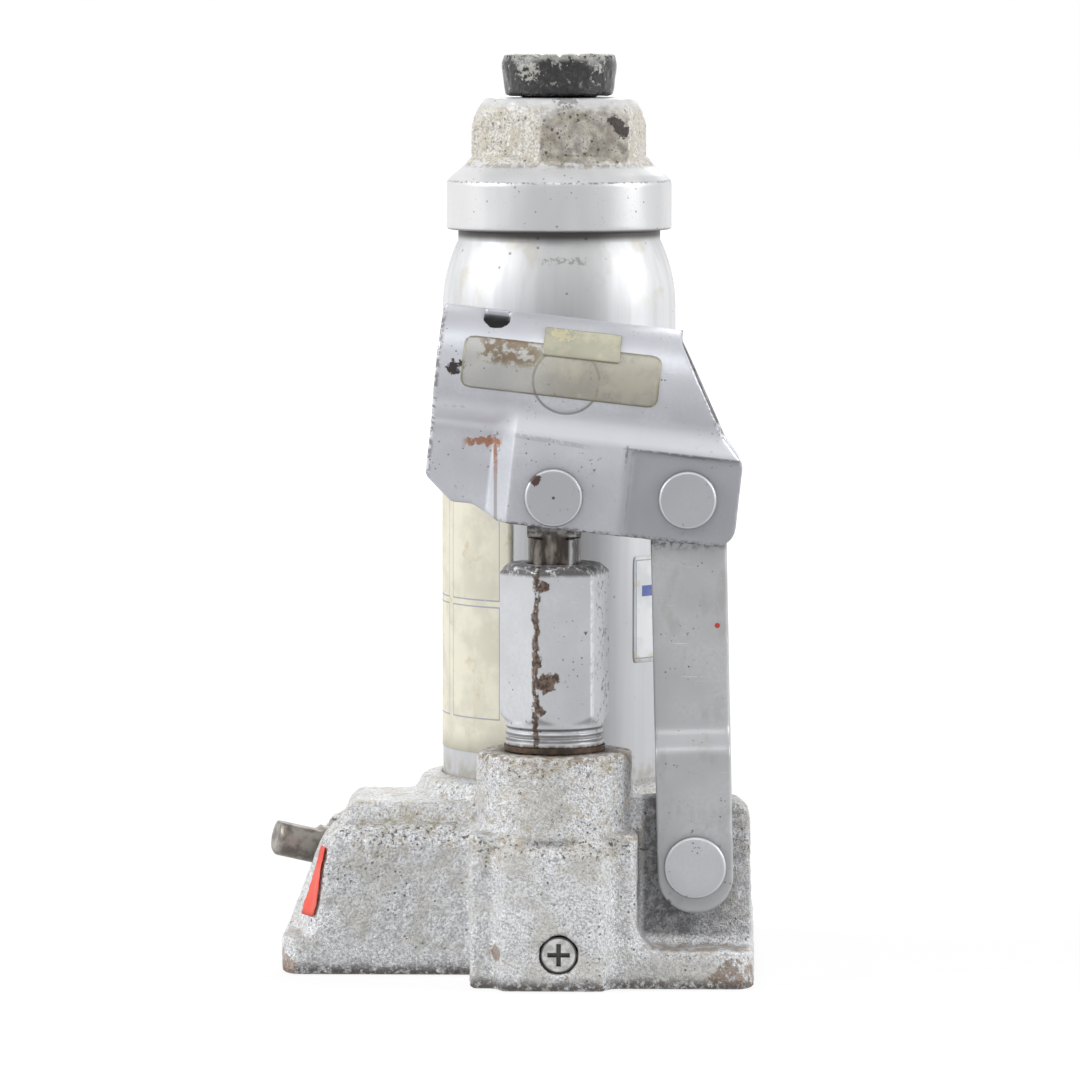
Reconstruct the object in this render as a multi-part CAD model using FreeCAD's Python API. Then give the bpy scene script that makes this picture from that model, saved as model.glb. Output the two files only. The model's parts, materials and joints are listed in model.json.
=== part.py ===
import FreeCAD, Part
import math
import os

# Hydraulic bottle jack for two tonnes, lowered. Millimetres, +Z up. The origin is on the ram's axis
# at the floor. The pump stands in front of the ram, towards -Y, and its lever swings in the XZ plane.

V = FreeCAD.Vector
UP = V(0, 0, 1)
BACK = V(0, 1, 0)

# Clearances
RUN = 0.05  # radial, between parts that slide, turn or screw together
SIDE = 0.1  # between flat faces that pass each other
SEAT = 0.02  # between a ball and its seat, and round a pressed pin

# Foot plate and casting
FOOT_LEFT = 54.2
FOOT_RIGHT = 39.2
FOOT_REAR = 38.0
FOOT_FRONT = 50.0
FOOT_STEP = 32.0  # front edge to the left of the pump boss
FOOT_THICK = 8.0
FOOT_CORNER = 8.0
FOOT_EDGE = 1.4
HUB_FOOT_R = 31.5
HUB_R = 28.6
HUB_TOP = 37.5
HUB_ROUND = 3.0
TANK_FLOOR = 26.0
CYLINDER_SEAT = 18.0

# Release valve block on the left of the casting
BLOCK_FRONT = 32.0
BLOCK_LEFT = 44.6
BLOCK_LEFT_FOOT = 47.4
BLOCK_TOP = 29.8
BLOCK_REAR = 14.0
BLOCK_REAR_SHARE = 0.8  # how much of its width the block keeps at the rear
BLOCK_ROLL = 3.6  # the top rolls over by this much down and in
WEB_LEFT = 46.8
WEB_LEFT_FOOT = 53.6
WEB_FRONT = 24.0
WEB_REAR = 5.0
SHOULDER_LEFT = 41.8
SHOULDER_FRONT = 25.0
SHOULDER_REAR = 3.0
SHOULDER_TOP = 33.7
CAST_EDGE = 1.6

# Pump boss
PUMP_Y = -37.5
BOSS_HALF = 16.5
BOSS_BLOCK_TOP = 30.5
BOSS_TOP = 45.7
COLLAR_R = 15.4
PANEL_HALF = 9.7
PANEL_ROOT_HALF = 11.6
PANEL_OUT = 4.5
PANEL_TOP_OUT = 3.1
PANEL_TOP = 28.5
ROOT_FILLET = 5.0

# Lug that holds the lower pin of the link
LUG_RIGHT = 38.3
LUG_HALF = 4.8
LUG_TOP = 36.7
LUG_CORNER = 4.5

# Closed height, from which the heights of saddle, ram, cap and tank follow
SADDLE_TOP = 181.0
SADDLE_HEIGHT = 8.5
SADDLE_BOTTOM = SADDLE_TOP - SADDLE_HEIGHT
RAM_SINK = 0.5  # the ram's end lies this far below the saddle
RAM_TOP = SADDLE_BOTTOM - RAM_SINK
CAP_GAP = 0.2  # between cap and saddle
CAP_TOP = SADDLE_BOTTOM - CAP_GAP
CAP_HEX_HEIGHT = 12.5
CAP_SHOULDER = CAP_TOP - CAP_HEX_HEIGHT
SKIRT_CHAMFER = 4.2
SKIRT_TOP = CAP_SHOULDER - SKIRT_CHAMFER
SKIRT_HEIGHT = 9.6
SKIRT_BOTTOM = SKIRT_TOP - SKIRT_HEIGHT
CYLINDER_REACH = 1.4  # how far the cylinder goes into the cap above its skirt
CYLINDER_TOP = SKIRT_TOP + CYLINDER_REACH
NECK_REACH = 3.0  # how far the tank's neck goes into the skirt
NECK_TOP = SKIRT_BOTTOM + NECK_REACH
NECK_LENGTH = 5.0
NECK_START = NECK_TOP - NECK_LENGTH
SHOULDER_HEIGHT = 15.0
SHOULDER_START = NECK_START - SHOULDER_HEIGHT

# Tank, cylinder and cap, from the cylinder's bore outwards
CYLINDER_BORE_R = 13.0
CYLINDER_WALL = 2.5
CYLINDER_R = CYLINDER_BORE_R + CYLINDER_WALL
OIL_SPACE = 6.0  # between cylinder and tank
TUBE_WALL = 1.8
TUBE_BORE_R = CYLINDER_R + OIL_SPACE
TUBE_R = TUBE_BORE_R + TUBE_WALL
TUBE_FOOT = 30.0
TUBE_SEAL = 1.5
NECK_STEP = 3.1
NECK_R = TUBE_R - NECK_STEP
GASKET = 1.0
SKIRT_WALL = 2.3
SKIRT_R = NECK_R + SKIRT_WALL
CAP_HEX = 32.0
CAP_HEX_TURN = 20.6
CAP_CONE_R = 14.6
CAP_CONE = 5.2
CAP_SEAL = 1.2
FILLER_DROP = 13.0  # from the start of the shoulder down to the filler plug
FILLER_Z = SHOULDER_START - FILLER_DROP
FILLER_R = 3.6
FILLER_TURN = 68.0

# Ram, screw and saddle
RAM_R = 11.0
RAM_SHOULDER = 30.0
PISTON_HEIGHT = 4.0
STEM_R = 6.0
BACKING = 1.2
CUP_HEIGHT = 5.0
CUP_NUT = 3.0
SCREW_R = 7.5
SCREW_LENGTH = 75.0
SCREW_BOTTOM = RAM_TOP - SCREW_LENGTH
THREAD_ZONE = 20.0
RAM_BORE_R = 8.7
SCREW_ROOM = 35.0  # below the screw's end
RAM_BORE_FLOOR = SCREW_BOTTOM - SCREW_ROOM
STOP_THICK = 2.0
STOP_NECK_R = 5.0
SADDLE_R = 11.7
SADDLE_FOOT_R = 10.9
SADDLE_DISH_R = 8.4
SADDLE_DISH = 2.4
SADDLE_TEETH = 16
GLAND_RISE = 3.5  # from the end of the cylinder
GLAND_Z = CYLINDER_TOP + GLAND_RISE
GLAND_HEIGHT = 2.6
GLAND_DEPTH = 2.2
WIPER_HEIGHT = 2.4
WIPER_DEPTH = 1.8
WIPER_COVER = 1.3  # metal over the wiper ring
WIPER_Z = CAP_TOP - WIPER_COVER - WIPER_HEIGHT

# Pump
PLUNGER_R = 5.15
PLUNGER_BOTTOM = 45.0
PLUNGER_CUP = 2.4
PLUNGER_STEM_R = 2.4
PUMP_HEX = 19.0
PUMP_HEX_TURN = 13.0
PUMP_HEX_BOTTOM = 51.4
PUMP_TOP = 82.2
PUMP_NECK_R = 9.6
PUMP_WASHER = 1.0
PUMP_WASHER_R = 9.9
SHANK_R = 8.0
SHANK_BOTTOM = 31.0
SEAT_WASHER = 1.0
PUMP_SEAL_R = 7.6
PUMP_SEAL_HEIGHT = 3.0
PUMP_LIP = 1.2
EYE_R = 7.2
EYE_HALF = 5.0
EYE_BLOCK_HALF = 5.25
EYE_BOTTOM = 87.4
EYE_PLAY_LEFT = 0.85  # the lever's arc moves the pin along the eye by this much
EYE_PLAY_RIGHT = 1.35
EYE_PLAY_UP = 0.4

# Lever linkage
PIN_R = 3.0
PLUNGER_PIN_Z = 95.6
LINK_FOOT_X = 27.6
LINK_FOOT_Z = 23.5
LINK_TOP_X = 26.0
LINK_TOP_Z = 95.1
STRAP_THICK = 3.0
STRAP_HALF = 7.4
STRAP_END = 9.2
JOGGLE_Z = 21.5  # height above the lower pin
JOGGLE_RISE = 5.0
UPPER_HEAD_R = 5.7
LOWER_HEAD_R = 6.1
HEAD_THICK = 1.7
CLIP_THICK = 0.9
CLIP_R = 5.0
GROOVE_DEPTH = 0.6
PIN_END = 1.2

# Handle socket, in its own frame: u along the tube to the right, v across it upwards
SHEET = 2.3
SOCKET_BORE_R = 8.95
SOCKET_TILT = 6.4
SOCKET_AXIS_Z = 119.2
SOCKET_LEFT = 22.8
SOCKET_RIGHT = 38.4
SOCKET_DEPTH = 29.6
CROWN_RIGHT = 24.0
SLANT_MIDDLE = (34.3, -8.7)
SLANT_END = -13.2
CHEEK_OUT = 7.5
NECK_FILLET = 2.5
FLAP_RIGHT = 10.3
FLAP_BEND = 4.2
FLAP_FILLET = 3.0
FLAP_SLIT = 0.1
FLAP_CUT = (17.3, 27.0)
FLAP_STEP = 13.0
FLAP_HEEL = 7.7
PANEL_PRESS = 0.8
PANEL_LEFT = 15.6
PANEL_RISE = 12.6
NOTCH_U = 12.2
NOTCH_WIDTH = 5.2
NOTCH_REACH = 7.7

# Release valve, along its own axis from the middle of the casting
RELEASE_Z = 11.6
RELEASE_TURN = 16.9
RELEASE_RISE = 13.8
RELEASE_SEAT = 17.0
RELEASE_CHAMBER_R = 3.1
RELEASE_CHAMBER = 22.0
RELEASE_BALL_R = 2.8
SPINDLE_R = 3.9
SPINDLE_END = 60.3
SPINDLE_FLATS = 5.6
SPINDLE_FLAT_LENGTH = 8.5
SPINDLE_CHAMFER = 0.8
GLAND_NUT_R = 5.3
GLAND_NUT_LENGTH = 6.5
RELEASE_RING_LENGTH = 2.0
RELEASE_BOSS_R = 6.9
RELEASE_FACE = 49.5
SPOT_FACE_R = 6.1  # clears the web round the end of the gland nut
SPOT_FACE_REACH = 8.0

# Oil passages and check valves in the casting
PASSAGE_R = 1.5
SUCTION_X = -3.4
SUCTION_BALL_R = 3.0
SUCTION_BORE_R = 3.5
SUCTION_SEAT_Z = 22.5
STRAINER_R = 2.4
STRAINER_THICK = 1.0
DELIVERY_X = 1.2
DELIVERY_Z = 7.3
DELIVERY_SEAT = 40.5
DELIVERY_BALL_R = 2.6
DELIVERY_BORE_R = 2.9
PLUG_R = 3.5
PLUG_LENGTH = 5.0
PLUG_SINK = 0.3
CROSS_ARM = 2.2
CROSS_WIDTH = 0.9
CROSS_DEPTH = 1.3
PLUG_POCKET = 1.6  # takes the outer end of the delivery spring
BALL_LIFT = 0.6  # how far the delivery ball opens
SAFETY_Y = 18.5
SAFETY_SEAT_Z = 14.0
SAFETY_BALL_R = 2.0
SAFETY_BORE_R = 2.5
SAFETY_SCREW = 4.0
SPRING_WIRE = 0.35
SPRING_SHARE = 0.66  # radius of the delivery spring as a share of its ball's

# Sizes that follow from those above
BOSS_FRONT = -FOOT_FRONT
CHEEK_IN = CHEEK_OUT - SHEET
PANEL_CHEEK_OUT = CHEEK_OUT - PANEL_PRESS
PANEL_CHEEK_IN = CHEEK_IN - PANEL_PRESS
STRAP_TOP_OUT = PANEL_CHEEK_IN - SIDE
STRAP_FOOT_OUT = LUG_HALF + SIDE + STRAP_THICK
SOCKET_R = SOCKET_BORE_R + SHEET
PUMP_CHAMBER_Z = SHANK_BOTTOM - SEAT_WASHER
RAM_BOTTOM = RAM_SHOULDER - BACKING - CUP_HEIGHT - CUP_NUT
PLUG_Y = BOSS_FRONT - PANEL_OUT + (PANEL_OUT - PANEL_TOP_OUT) * DELIVERY_Z / PANEL_TOP + PLUG_SINK


def cylinder(radius, low, high, x=0.0, y=0.0):
    return Part.makeCylinder(radius, high - low, V(x, y, low))


def ring(outer, inner, low, high, x=0.0, y=0.0):
    return cylinder(outer, low, high, x, y).cut(cylinder(inner, low - 1, high + 1, x, y))


def rod(start, end, radius):
    return Part.makeCylinder(radius, (end - start).Length, start, end - start)


def block(low, high):
    return Part.makeBox(high[0] - low[0], high[1] - low[1], high[2] - low[2], V(*low))


def rounded_wire(corners, place):
    """A closed wire through corners (a, b, radius), each rounded by its arc and set in space by place."""
    runs = []
    for i, (a, b, radius) in enumerate(corners):
        here = V(a, b, 0)
        back = (V(*corners[i - 1][:2], 0) - here).normalize()
        ahead = (V(*corners[(i + 1) % len(corners)][:2], 0) - here).normalize()
        half = back.getAngle(ahead) / 2
        reach = radius / math.tan(half)
        middle = here + (back + ahead).normalize() * (radius / math.sin(half) - radius)
        runs.append([place(p.x, p.y) for p in (here + back * reach, middle, here + ahead * reach)])
    edges = []
    for i, (start, middle, end) in enumerate(runs):
        if corners[i][2] > 0:
            edges.append(Part.Arc(start, middle, end).toShape())
        following = runs[(i + 1) % len(runs)][0]
        if (following - end).Length > 1e-6:
            edges.append(Part.LineSegment(end, following).toShape())
    return Part.Wire(edges)


def plate(corners, low, high):
    """A flat plate whose plan is given by rounded corners (x, y, radius)."""
    wire = rounded_wire(corners, lambda x, y: V(x, y, low))
    return Part.Face(wire).extrude(V(0, 0, high - low))


def profile_plate(corners, front, rear):
    """An upright plate whose outline (x, z, radius) is seen from the front."""
    wire = rounded_wire(corners, lambda x, z: V(x, front, z))
    return Part.Face(wire).extrude(V(0, rear - front, 0))


def turned(corners, x=0.0, y=0.0):
    """A turned piece from the rounded outline (radius, z, corner radius) of its half section."""
    wire = rounded_wire(corners, lambda r, z: V(x + r, y, z))
    return Part.Face(wire).revolve(V(x, y, 0), UP, 360)


def tapered(levels):
    """A cast block through plan outlines (x, y), one for each height."""
    wires = [Part.makePolygon([V(x, y, z) for x, y in points + points[:1]]) for z, points in levels]
    return Part.makeLoft(wires, True, True)


def hexagon(across_flats, low, high, turn, x=0.0, y=0.0):
    reach = across_flats / 2 / math.cos(math.pi / 6)
    angles = [math.radians(turn + 60 * i) for i in range(6)]
    corners = [(x + reach * math.cos(a), y + reach * math.sin(a), 0) for a in angles]
    return plate(corners, low, high)


def fused(first, *others):
    return first.fuse(list(others)).removeSplitter()


def coil(radius, wire, length, turns, start, along):
    """A compression spring with its first end at start."""
    helix = Part.makeHelix(length / turns, length, radius)
    lead = V(0, 1, length / turns / (2 * math.pi * radius))
    section = Part.Wire([Part.makeCircle(wire, V(radius, 0, 0), lead)])
    spring = Part.Wire(helix.Edges).makePipeShell([section], True, True)
    spring.Placement = FreeCAD.Placement(start, FreeCAD.Rotation(UP, along))
    return spring


def release_point(distance):
    """The point on the release valve's axis at a distance out from the middle of the casting."""
    turn, rise = math.radians(RELEASE_TURN), math.radians(RELEASE_RISE)
    out = V(-math.cos(rise) * math.cos(turn), -math.cos(rise) * math.sin(turn), math.sin(rise))
    return V(0, 0, RELEASE_Z) + out * distance


def release_rod(start, end, radius):
    return rod(release_point(start), release_point(end), radius)


def foot_plate():
    foot = plate(
        [
            (-FOOT_LEFT, -FOOT_STEP, FOOT_CORNER / 2),
            (-BOSS_HALF, -FOOT_STEP, 0),
            (-BOSS_HALF, -FOOT_FRONT, FOOT_EDGE),
            (FOOT_RIGHT, -FOOT_FRONT, FOOT_CORNER / 2),
            (FOOT_RIGHT, FOOT_REAR, FOOT_CORNER),
            (-FOOT_LEFT, FOOT_REAR, FOOT_CORNER),
        ],
        0,
        FOOT_THICK,
    )
    level = [e for e in foot.Edges if abs(e.BoundBox.ZMax - e.BoundBox.ZMin) < 1e-6]
    return foot.makeChamfer(FOOT_EDGE / 2, level)


def hub():
    return turned(
        [
            (0, 0, 0),
            (HUB_FOOT_R, 0, 0),
            (HUB_FOOT_R, FOOT_THICK, 0),
            (HUB_R, FOOT_THICK + HUB_ROUND, HUB_ROUND),
            (HUB_R, HUB_TOP - HUB_ROUND / 3, HUB_ROUND),
            (TUBE_R + RUN, HUB_TOP, 0),
            (0, HUB_TOP, 0),
        ]
    )


def release_block():
    """The stepped block on the left, wider at its foot, that holds the release valve."""

    def outline(left, web, inset):
        return [
            (-left + inset, -BLOCK_FRONT + inset),
            (-web + inset, -WEB_FRONT),
            (-web + inset, -WEB_REAR),
            (-left * BLOCK_REAR_SHARE + inset, BLOCK_REAR - inset),
            (0, BLOCK_REAR - inset),
            (0, -BLOCK_FRONT + inset),
        ]

    lower = tapered(
        [
            (FOOT_EDGE, outline(BLOCK_LEFT_FOOT, WEB_LEFT_FOOT, 0)),
            (FOOT_THICK, outline(BLOCK_LEFT_FOOT, WEB_LEFT_FOOT, 0)),
            (BLOCK_TOP - BLOCK_ROLL, outline(BLOCK_LEFT, WEB_LEFT, 0)),
            (BLOCK_TOP - BLOCK_ROLL / 3, outline(BLOCK_LEFT, WEB_LEFT, BLOCK_ROLL / 2)),
            (BLOCK_TOP, outline(BLOCK_LEFT, WEB_LEFT, BLOCK_ROLL)),
        ]
    )

    def shoulder(inset):
        return [
            (-SHOULDER_LEFT + inset, -SHOULDER_FRONT + inset),
            (-SHOULDER_LEFT + inset, SHOULDER_REAR - inset),
            (0, SHOULDER_REAR - inset),
            (0, -SHOULDER_FRONT + inset),
        ]

    upper = tapered(
        [
            (BLOCK_TOP - CAST_EDGE, shoulder(-CAST_EDGE)),
            (SHOULDER_TOP - CAST_EDGE, shoulder(0)),
            (SHOULDER_TOP, shoulder(CAST_EDGE)),
        ]
    )
    return fused(lower, upper, release_rod(RELEASE_SEAT, RELEASE_FACE, RELEASE_BOSS_R))


def pump_boss():
    """The square block and the round collar that the pump cylinder screws into."""
    body = plate(
        [
            (-BOSS_HALF, BOSS_FRONT, FOOT_EDGE),
            (BOSS_HALF, BOSS_FRONT, FOOT_EDGE),
            (BOSS_HALF, -TUBE_R + TUBE_WALL, 0),
            (-BOSS_HALF, -TUBE_R + TUBE_WALL, 0),
        ],
        FOOT_EDGE / 2,
        BOSS_BLOCK_TOP,
    )
    collar = turned(
        [
            (0, BOSS_BLOCK_TOP - FOOT_EDGE, 0),
            (COLLAR_R, BOSS_BLOCK_TOP - FOOT_EDGE, 0),
            (COLLAR_R, BOSS_TOP, CAST_EDGE / 2),
            (0, BOSS_TOP, 0),
        ],
        0,
        PUMP_Y,
    )

    def panel(out, spread):
        return [
            (-PANEL_ROOT_HALF - spread, BOSS_FRONT + PANEL_OUT),
            (-PANEL_ROOT_HALF - spread, BOSS_FRONT),
            (-PANEL_HALF - spread, BOSS_FRONT - out),
            (PANEL_HALF + spread, BOSS_FRONT - out),
            (PANEL_ROOT_HALF + spread, BOSS_FRONT),
            (PANEL_ROOT_HALF + spread, BOSS_FRONT + PANEL_OUT),
        ]

    front = tapered(
        [
            (0, panel(PANEL_OUT - FOOT_EDGE, 0)),
            (FOOT_EDGE, panel(PANEL_OUT, 0)),
            (PANEL_TOP - CAST_EDGE, panel(PANEL_TOP_OUT, 0)),
            (PANEL_TOP, panel(PANEL_TOP_OUT - CAST_EDGE, -CAST_EDGE)),
        ]
    )
    fillet = block(
        (BOSS_HALF, BOSS_FRONT + FOOT_EDGE, FOOT_THICK - FOOT_EDGE),
        (BOSS_HALF + ROOT_FILLET, PUMP_Y, FOOT_THICK + ROOT_FILLET),
    ).cut(
        rod(
            V(BOSS_HALF + ROOT_FILLET, BOSS_FRONT, FOOT_THICK + ROOT_FILLET),
            V(BOSS_HALF + ROOT_FILLET, PUMP_Y + 1, FOOT_THICK + ROOT_FILLET),
            ROOT_FILLET,
        )
    )
    return fused(body, collar, front, fillet)


def lug():
    low = FOOT_THICK - FOOT_EDGE
    return profile_plate(
        [
            (0, low, 0),
            (LUG_RIGHT + FOOT_EDGE / 3, low, 0),
            (LUG_RIGHT, LUG_TOP, LUG_CORNER),
            (0, LUG_TOP, 0),
        ],
        PUMP_Y - LUG_HALF,
        PUMP_Y + LUG_HALF,
    )


def tank_bores():
    """Where the tank tube and the pressure cylinder stand, cut from above."""
    above = BOSS_TOP + 1
    return [
        cylinder(TUBE_R + RUN, TUBE_FOOT, above),
        cylinder(TUBE_BORE_R, TANK_FLOOR, above),
        cylinder(CYLINDER_R + RUN, CYLINDER_SEAT, above),
    ]


def delivery_rod(front, rear, radius):
    """A rod along the delivery valve's axis, which runs from the front of the boss towards the ram."""
    return rod(V(DELIVERY_X, front, DELIVERY_Z), V(DELIVERY_X, rear, DELIVERY_Z), radius)


def pump_bores():
    chamber = cylinder(SHANK_R + RUN, PUMP_CHAMBER_Z, BOSS_TOP + 1, 0, PUMP_Y)
    ball = cylinder(SUCTION_BORE_R, SUCTION_SEAT_Z, PUMP_CHAMBER_Z + 1, SUCTION_X, PUMP_Y)
    inlet_bend = V(SUCTION_X, PUMP_Y, RELEASE_Z + PASSAGE_R)
    inlet_top = V(SUCTION_X, -(CYLINDER_R + TUBE_BORE_R) / 2, TANK_FLOOR)
    inlet = rod(inlet_bend, V(SUCTION_X, PUMP_Y, SUCTION_SEAT_Z + 1), PASSAGE_R)
    slant = rod(inlet_bend, inlet_top, PASSAGE_R)
    strainer = cylinder(STRAINER_R + RUN, TANK_FLOOR - STRAINER_THICK, TANK_FLOOR + 1, SUCTION_X, inlet_top.y)
    plug = delivery_rod(PLUG_Y - PANEL_OUT, PLUG_Y + PLUG_LENGTH, PLUG_R + RUN)
    valve = delivery_rod(PLUG_Y, -DELIVERY_SEAT, DELIVERY_BORE_R)
    drop_y = PUMP_Y + PASSAGE_R + 1
    inner = delivery_rod(-DELIVERY_SEAT - 1, drop_y, PASSAGE_R)
    drop = cylinder(PASSAGE_R, DELIVERY_Z, PUMP_CHAMBER_Z + 1, DELIVERY_X, drop_y)
    outlet_x = DELIVERY_X + DELIVERY_BORE_R / 2
    outlet_start = V(outlet_x, -DELIVERY_SEAT - 2 * DELIVERY_BALL_R, DELIVERY_Z + PASSAGE_R)
    outlet_end = V(CYLINDER_BORE_R - 2 * PASSAGE_R, -2 * PASSAGE_R, CYLINDER_SEAT + 1)
    outlet = rod(outlet_start, outlet_end, PASSAGE_R)
    return [chamber, ball, inlet, slant, strainer, plug, valve, inner, drop, outlet]


def release_bores():
    passage = release_rod(0, RELEASE_SEAT + 1, PASSAGE_R)
    rise = cylinder(PASSAGE_R, RELEASE_Z, CYLINDER_SEAT + 1)
    chamber = release_rod(RELEASE_SEAT, RELEASE_CHAMBER, RELEASE_CHAMBER_R)
    thread = release_rod(RELEASE_CHAMBER - 1, RELEASE_FACE + 1, SPINDLE_R + RUN)
    packing_start = RELEASE_FACE - GLAND_NUT_LENGTH - RELEASE_RING_LENGTH
    packing = release_rod(packing_start, RELEASE_FACE + 1, GLAND_NUT_R + RUN)
    middle = release_point((RELEASE_SEAT + RELEASE_CHAMBER) / 2)
    back_to_tank = cylinder(PASSAGE_R, middle.z, TANK_FLOOR + 1, middle.x, middle.y)
    spot_face = release_rod(RELEASE_FACE, RELEASE_FACE + SPOT_FACE_REACH, SPOT_FACE_R)
    return [passage, rise, chamber, thread, packing, spot_face, back_to_tank]


def safety_bores():
    bore = cylinder(SAFETY_BORE_R, SAFETY_SEAT_Z, TANK_FLOOR + 1, 0, SAFETY_Y)
    seat = cylinder(PASSAGE_R / 2, RELEASE_Z, SAFETY_SEAT_Z + 1, 0, SAFETY_Y)
    feed = rod(V(0, 0, RELEASE_Z), V(0, SAFETY_Y, RELEASE_Z), PASSAGE_R / 2)
    return [bore, seat, feed]


def base_casting():
    body = fused(foot_plate(), hub(), release_block(), pump_boss(), lug())
    pin_hole = rod(
        V(LINK_FOOT_X, PUMP_Y - LUG_HALF - 1, LINK_FOOT_Z),
        V(LINK_FOOT_X, PUMP_Y + LUG_HALF + 1, LINK_FOOT_Z),
        PIN_R + SEAT,
    )
    return body.cut(tank_bores() + pump_bores() + release_bores() + safety_bores() + [pin_hole])


def reservoir_tube():
    """The tank: a tube whose top is drawn in to a neck under the cap."""

    def shell(outer, neck, grow):
        bend = V(outer, 0, SHOULDER_START)
        top = V(neck, 0, NECK_START)
        middle = V(outer - (outer - neck) * 0.24, 0, SHOULDER_START + (NECK_START - SHOULDER_START) * 0.55)
        low, high = V(outer, 0, TUBE_FOOT + TUBE_SEAL - grow), V(neck, 0, NECK_TOP + grow)
        edges = [
            Part.LineSegment(V(0, 0, low.z), low).toShape(),
            Part.LineSegment(low, bend).toShape(),
            Part.Arc(bend, middle, top).toShape(),
            Part.LineSegment(top, high).toShape(),
            Part.LineSegment(high, V(0, 0, high.z)).toShape(),
            Part.LineSegment(V(0, 0, high.z), V(0, 0, low.z)).toShape(),
        ]
        return Part.Face(Part.Wire(edges)).revolve(V(0, 0, 0), UP, 360)

    tube = shell(TUBE_R, NECK_R, 0).cut(shell(TUBE_BORE_R, NECK_R - TUBE_WALL, 1))
    return tube.cut(filler_rod(0, TUBE_R + 1, FILLER_R + SEAT))


def filler_rod(start, end, radius):
    turn = math.radians(FILLER_TURN)
    out = V(math.cos(turn), math.sin(turn), 0)
    middle = V(0, 0, FILLER_Z)
    return rod(middle + out * start, middle + out * end, radius)


def oil_filler_plug():
    """A rubber bung: a shank with a bead inside the tube and a flat head outside."""
    shank = filler_rod(TUBE_BORE_R - 1.5, TUBE_R + 1.2, FILLER_R)
    bead = filler_rod(TUBE_BORE_R - 1.8, TUBE_BORE_R - 0.6, FILLER_R + 0.5)
    head = filler_rod(TUBE_R + SIDE, TUBE_R + 2.0, FILLER_R + 1.8)
    return fused(shank, bead, head)


def reservoir_base_seal():
    return ring(TUBE_R, TUBE_BORE_R, TUBE_FOOT, TUBE_FOOT + TUBE_SEAL)


def pressure_cylinder():
    return ring(CYLINDER_R, CYLINDER_BORE_R, CYLINDER_SEAT + GASKET, CYLINDER_TOP)


def cylinder_base_gasket():
    return ring(CYLINDER_R, CYLINDER_BORE_R, CYLINDER_SEAT, CYLINDER_SEAT + GASKET)


def top_cap():
    """The cap nut: skirt, rolled shoulder, hexagon and cone, bored for cylinder, seals and ram."""
    skirt = turned(
        [
            (0, SKIRT_BOTTOM, 0),
            (SKIRT_R, SKIRT_BOTTOM, 0.5),
            (SKIRT_R, SKIRT_TOP, 0.6),
            (SKIRT_R - 1.2, SKIRT_TOP + 1.3, 0.5),
            (CAP_HEX / 2 + 3.2, CAP_SHOULDER - 1.2, 1.0),
            (CAP_HEX / 2 + 1.0, CAP_SHOULDER + 1.2, 0),
            (0, CAP_SHOULDER + 1.2, 0),
        ]
    )
    corner_r = CAP_HEX / 2 / math.cos(math.pi / 6)
    cone = turned(
        [
            (0, CAP_SHOULDER, 0),
            (corner_r + 1, CAP_SHOULDER, 0),
            (corner_r, CAP_TOP - CAP_CONE, 0),
            (CAP_CONE_R, CAP_TOP, 0.8),
            (0, CAP_TOP, 0),
        ]
    )
    nut = hexagon(CAP_HEX, CAP_SHOULDER, CAP_TOP, CAP_HEX_TURN, 0, 0).common(cone)
    bores = [
        cylinder(NECK_R + RUN, SKIRT_BOTTOM - 1, NECK_TOP + CAP_SEAL),
        cylinder(CYLINDER_R + RUN, SKIRT_BOTTOM - 1, CYLINDER_TOP),
        cylinder(RAM_R + RUN, SKIRT_BOTTOM - 1, CAP_TOP + 1),
        cylinder(RAM_R + GLAND_DEPTH, GLAND_Z, GLAND_Z + GLAND_HEIGHT),
        cylinder(RAM_R + WIPER_DEPTH, WIPER_Z, WIPER_Z + WIPER_HEIGHT),
    ]
    return fused(skirt, nut).cut(bores)


def cap_seal_ring():
    return ring(NECK_R, CYLINDER_R + RUN, NECK_TOP, NECK_TOP + CAP_SEAL)


def ram_gland_seal():
    return ring(RAM_R + GLAND_DEPTH, RAM_R + RUN, GLAND_Z, GLAND_Z + GLAND_HEIGHT)


def ram_wiper_ring():
    return ring(RAM_R + WIPER_DEPTH, RAM_R + RUN, WIPER_Z, WIPER_Z + WIPER_HEIGHT)


def ram():
    """The hollow ram: piston head and stem below, threaded for the screw at the top."""
    outside = turned(
        [
            (0, RAM_BOTTOM, 0),
            (STEM_R, RAM_BOTTOM, 0),
            (STEM_R, RAM_SHOULDER, 0),
            (CYLINDER_BORE_R - RUN, RAM_SHOULDER, 0),
            (CYLINDER_BORE_R - RUN, RAM_SHOULDER + PISTON_HEIGHT, 0),
            (RAM_R, RAM_SHOULDER + PISTON_HEIGHT, 0),
            (RAM_R, RAM_TOP, 0.8),
            (0, RAM_TOP, 0),
        ]
    )
    thread = cylinder(SCREW_R + RUN, RAM_BORE_FLOOR, RAM_TOP + 1)
    relief = cylinder(RAM_BORE_R, RAM_BORE_FLOOR, RAM_TOP - THREAD_ZONE)
    return outside.cut([thread, relief])


def piston_backing_washer():
    return ring(CYLINDER_BORE_R - 4 * RUN, STEM_R + RUN, RAM_SHOULDER - BACKING, RAM_SHOULDER)


def piston_cup_seal():
    """A cup with its hollow side down, towards the oil."""
    top = RAM_SHOULDER - BACKING
    cup = ring(CYLINDER_BORE_R - RUN, STEM_R + RUN, top - CUP_HEIGHT, top)
    hollow = ring(CYLINDER_BORE_R - 1.4, STEM_R + 4.0, top - CUP_HEIGHT - 1, top - CUP_HEIGHT / 2)
    return cup.cut(hollow)


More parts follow.
